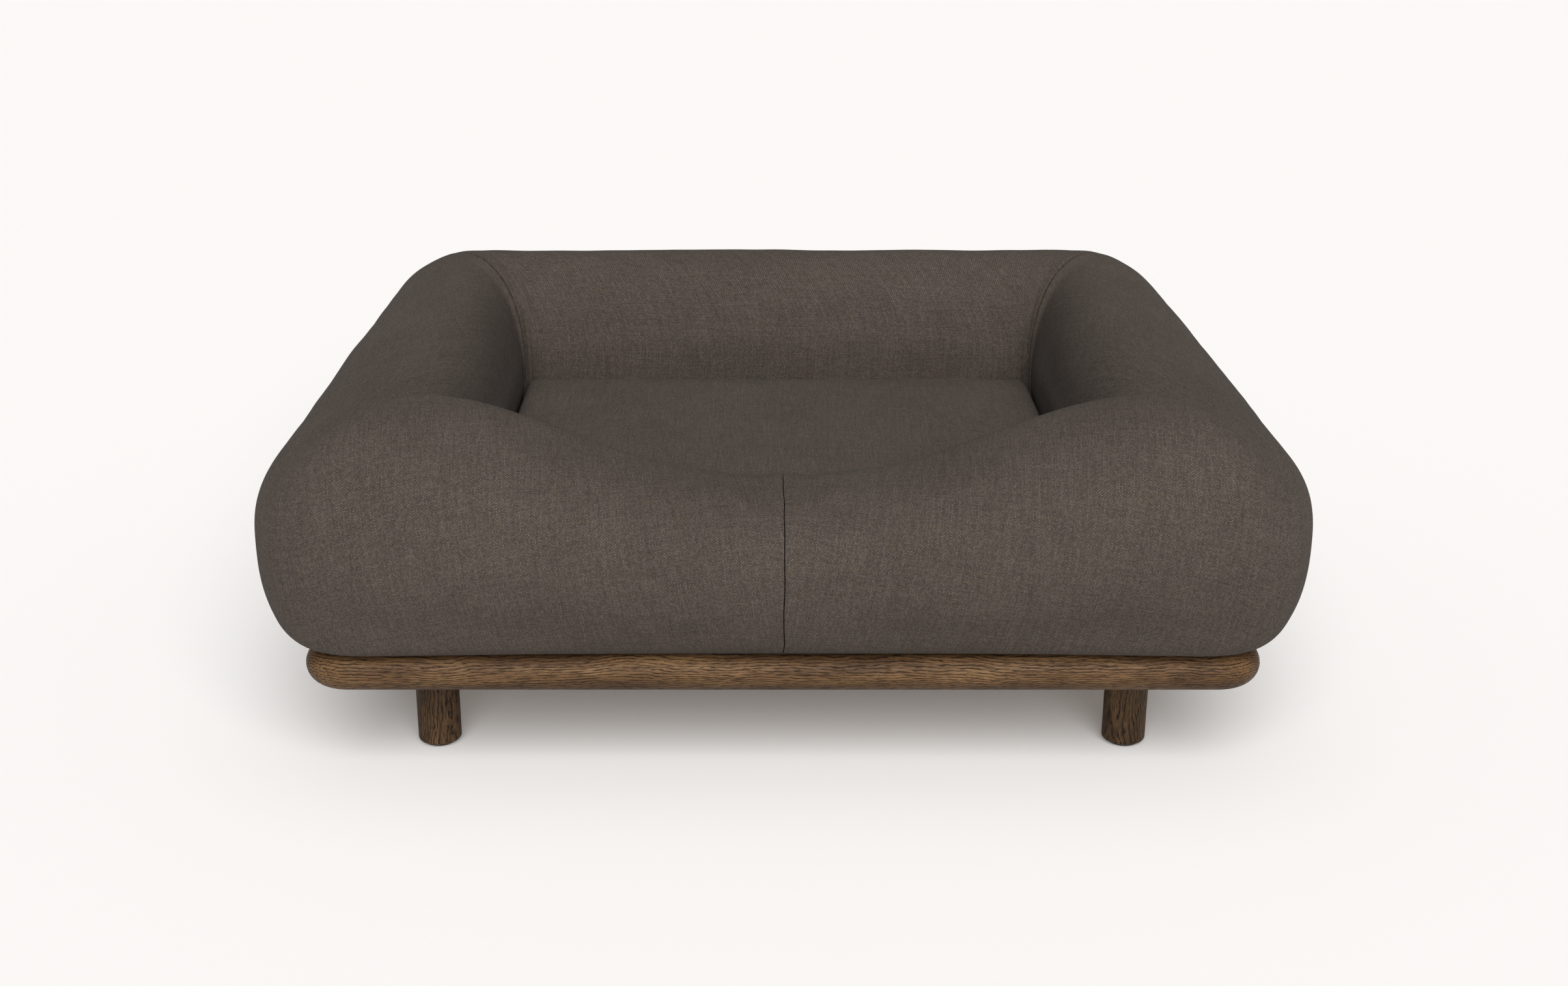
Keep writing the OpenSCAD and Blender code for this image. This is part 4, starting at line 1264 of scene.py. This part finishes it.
def grip_cloth_mesh():
    """A thin cloth with a rolled hem: its upper and lower rings share the outermost one."""
    low = cloth_lo.z
    high = cloth_hi.z
    middle = (low + high) / 2
    profile = (
        (0.0, middle),
        (0.35 * MM, middle + 0.6 * MM),
        (1.2 * MM, high),
        (9 * MM, high - 0.2 * MM),
        (11 * MM, middle + GRIP_THICK),
        (60 * MM, middle + GRIP_THICK),
    )
    bm = bmesh.new()
    rings = [[(x, y, z) for x, y in plate_line(inset)] for inset, z in profile]
    lower = [[(x, y, 2 * middle - z) for x, y, z in ring] for ring in rings[1:]]
    lower[-2:] = [[(x, y, low + GRIP_UNDER) for x, y, z in ring] for ring in lower[-2:]]
    above = [[bm.verts.new(p) for p in ring] for ring in rings]
    below = [above[0]] + [[bm.verts.new(p) for p in ring] for ring in lower]
    for stack in (above, below):
        for a, b in zip(stack, stack[1:]):
            for k in range(len(a)):
                j = (k + 1) % len(a)
                bm.faces.new((a[k], a[j], b[j], b[k]))
        bm.faces.new(stack[-1])
    bmesh.ops.remove_doubles(bm, verts=bm.verts, dist=1e-6)
    mesh = mesh_of("base_grip_cloth", bm)
    face_outwards(mesh)
    smooth_shaded(mesh)
    return mesh


def dot_rows(z):
    """Lines of dots across the cloth, every other one shifted, that stay inside its rounded corners."""
    rows = []
    count = int((GRIP_HALF_Y - DOT_MARGIN) / DOT_STEP)
    for r in range(-count, count + 1):
        y = r * DOT_STEP
        corner = max(0.0, abs(y) - (GRIP_HALF_Y - FRONT_R))
        reach = GRIP_HALF_X - FRONT_R + math.sqrt(max(0.0, FRONT_R ** 2 - corner ** 2)) - DOT_MARGIN
        n = int(reach / DOT_STEP)
        shift = DOT_STEP / 2 if r % 2 else 0.0
        rows.append([(-n * DOT_STEP + shift, y, z), (n * DOT_STEP - shift, y, z)])
    return rows


def make_base_cloth(cloth, thread, rubber):
    """The non-slip cloth under the ring, with a rolled hem, its stitches and its rubber dots."""
    low = cloth_lo.z
    mesh = grip_cloth_mesh()
    mesh.materials.append(cloth)
    piece = shown("base_grip_cloth", mesh)
    attach(piece, "bed", "grip_cloth", "base_cloth")
    hem = [(x, y, low + HEM_PROUD) for x, y in plate_line(HEM_IN)]
    sewn = beads("base_hem_stitches", [hem + hem[:1]], HERE, Spacing=HEM_PITCH, Size=HEM_STITCH, Turn=0.04,
                 Seed=6, Faces=6, Material=thread)
    attach(sewn, "bed", "grip_cloth")
    dots = beads("base_grip_dots", dot_rows(low + DOT_SUNK), HERE, Spacing=DOT_STEP, Size=DOT_SIZE, Turn=0.0,
                 Seed=2, Faces=8, Material=rubber)
    attach(dots, "bed", "grip_cloth")


# ---------- Floor, light and camera ----------
FLOOR_TONE = (0.875, 0.859, 0.844)
FLOOR_HALF = 60
FLOOR_LIFT = 0.09
BACKDROP_TONE = (1.0, 0.982, 0.964)
BACKDROP = 0.95
SKY = 0.22
# Broad, far lights: strength, height above the floor, turn to the right and softness in degrees
LIGHTS = (
    ("soft_top_light", 0.35, 84, 0, 50),
    ("soft_front_light", 3.3, 40, 4, 52),
)
CAMERA_PLACE = (-0.026, -2.000, 0.898)
CAMERA_DOWN = 20.3
CAMERA_LENS = 44.85
CAMERA_SHIFT = 0.0183


def camera_sees(tree):
    return add(tree, "ShaderNodeLightPath").outputs["Is Camera Ray"]


def make_floor():
    """A plain pale floor, lifted a little in tone where the camera sees it."""
    bm = bmesh.new()
    bmesh.ops.create_grid(bm, x_segments=1, y_segments=1, size=FLOOR_HALF)
    floor = shown("studio_floor", mesh_of("studio_floor", bm))
    material, tree, shader = new_material("studio_floor")
    for socket, value in (("Base Color", (*FLOOR_TONE, 1)), ("Roughness", 1.0), ("Specular IOR Level", 0.0),
                          ("Emission Color", (*BACKDROP_TONE, 1))):
        shader.inputs[socket].default_value = value
    tree.links.new(times(tree, camera_sees(tree), FLOOR_LIFT), shader.inputs["Emission Strength"])
    floor.data.materials.append(material)


def make_sky():
    """A dim sky for light, which the camera sees as a pale backdrop."""
    world = bpy.data.worlds.new("studio")
    bpy.context.scene.world = world
    world.use_nodes = True
    tree = world.node_tree
    tree.nodes.clear()
    strength = scaled(tree, camera_sees(tree), BACKDROP - SKY, SKY)
    back = add(tree, "ShaderNodeBackground", {"Color": (*BACKDROP_TONE, 1), "Strength": strength})
    add(tree, "ShaderNodeOutputWorld", {"Surface": back.outputs[0]})
    view = bpy.context.scene.view_settings
    view.view_transform = "Standard"
    view.look = "None"


def soft_sun(name, strength, height, side, softness):
    lamp = bpy.data.lights.new(name, "SUN")
    lamp.energy = strength
    lamp.angle = math.radians(softness)
    holder = bpy.data.objects.new(name, lamp)
    holder.rotation_euler = Euler((math.radians(90 - height), 0, math.radians(side)))
    bpy.context.scene.collection.objects.link(holder)


def make_camera():
    data = bpy.data.cameras.new("camera")
    data.lens = CAMERA_LENS
    data.sensor_width = 36
    data.shift_x = CAMERA_SHIFT
    data.clip_end = 200
    camera = bpy.data.objects.new("camera", data)
    camera.location = CAMERA_PLACE
    camera.rotation_euler = Euler((math.radians(90 - CAMERA_DOWN), 0, 0))
    bpy.context.scene.collection.objects.link(camera)
    bpy.context.scene.camera = camera


# ---------- The whole bed ----------
make_camera()
make_floor()
make_sky()
for light in LIGHTS:
    soft_sun(*light)
cover_cloth = woven_cloth("cover_weave", *CLOTH_TONES)
dark_tape = fine_weave("zip_tape", srgb(70, 63, 57), 0.5 * MM, True)
grip_cloth = fine_weave("grip_cloth", srgb(64, 60, 56), 1.1 * MM, False)
wool_felt = felt("felt", srgb(70, 66, 62))
steel = metal("steel", (0.55, 0.54, 0.52), 0.38)
zip_metal = metal("zip_metal", (0.16, 0.15, 0.14), 0.42)
nylon = plastic("zip_nylon", srgb(40, 36, 33), 0.4)
thread = plastic("sewing_thread", srgb(66, 60, 54), 0.7)
rubber = plastic("grip_rubber", srgb(36, 35, 34), 0.55)
finish_wood()
for node in ("slat_screws", "leg_bolts", "leg_inserts"):
    dress_node(node, steel)
dress_node("leg_glides", wool_felt)
for kind in ("roll", "seat"):
    dress_node(kind + "_zip_tape", dark_tape)
    dress_node(kind + "_zip_slider", zip_metal)
    dress_node(kind + "_zip_pull", zip_metal)
BEADS = bead_tree()
make_side_covers(cover_cloth)
make_back_cover(cover_cloth)
make_cushion(cover_cloth)
make_zip("roll_zip", ROLL_ZIP_L, ROLL_ZIP, "bed", "roll_zip_coil", thread, nylon)
make_zip("seat_zip", SEAT_ZIP_L, SEAT_ZIP, "cushion", "seat_zip_coil", thread, nylon)
make_base_cloth(grip_cloth, thread, rubber)
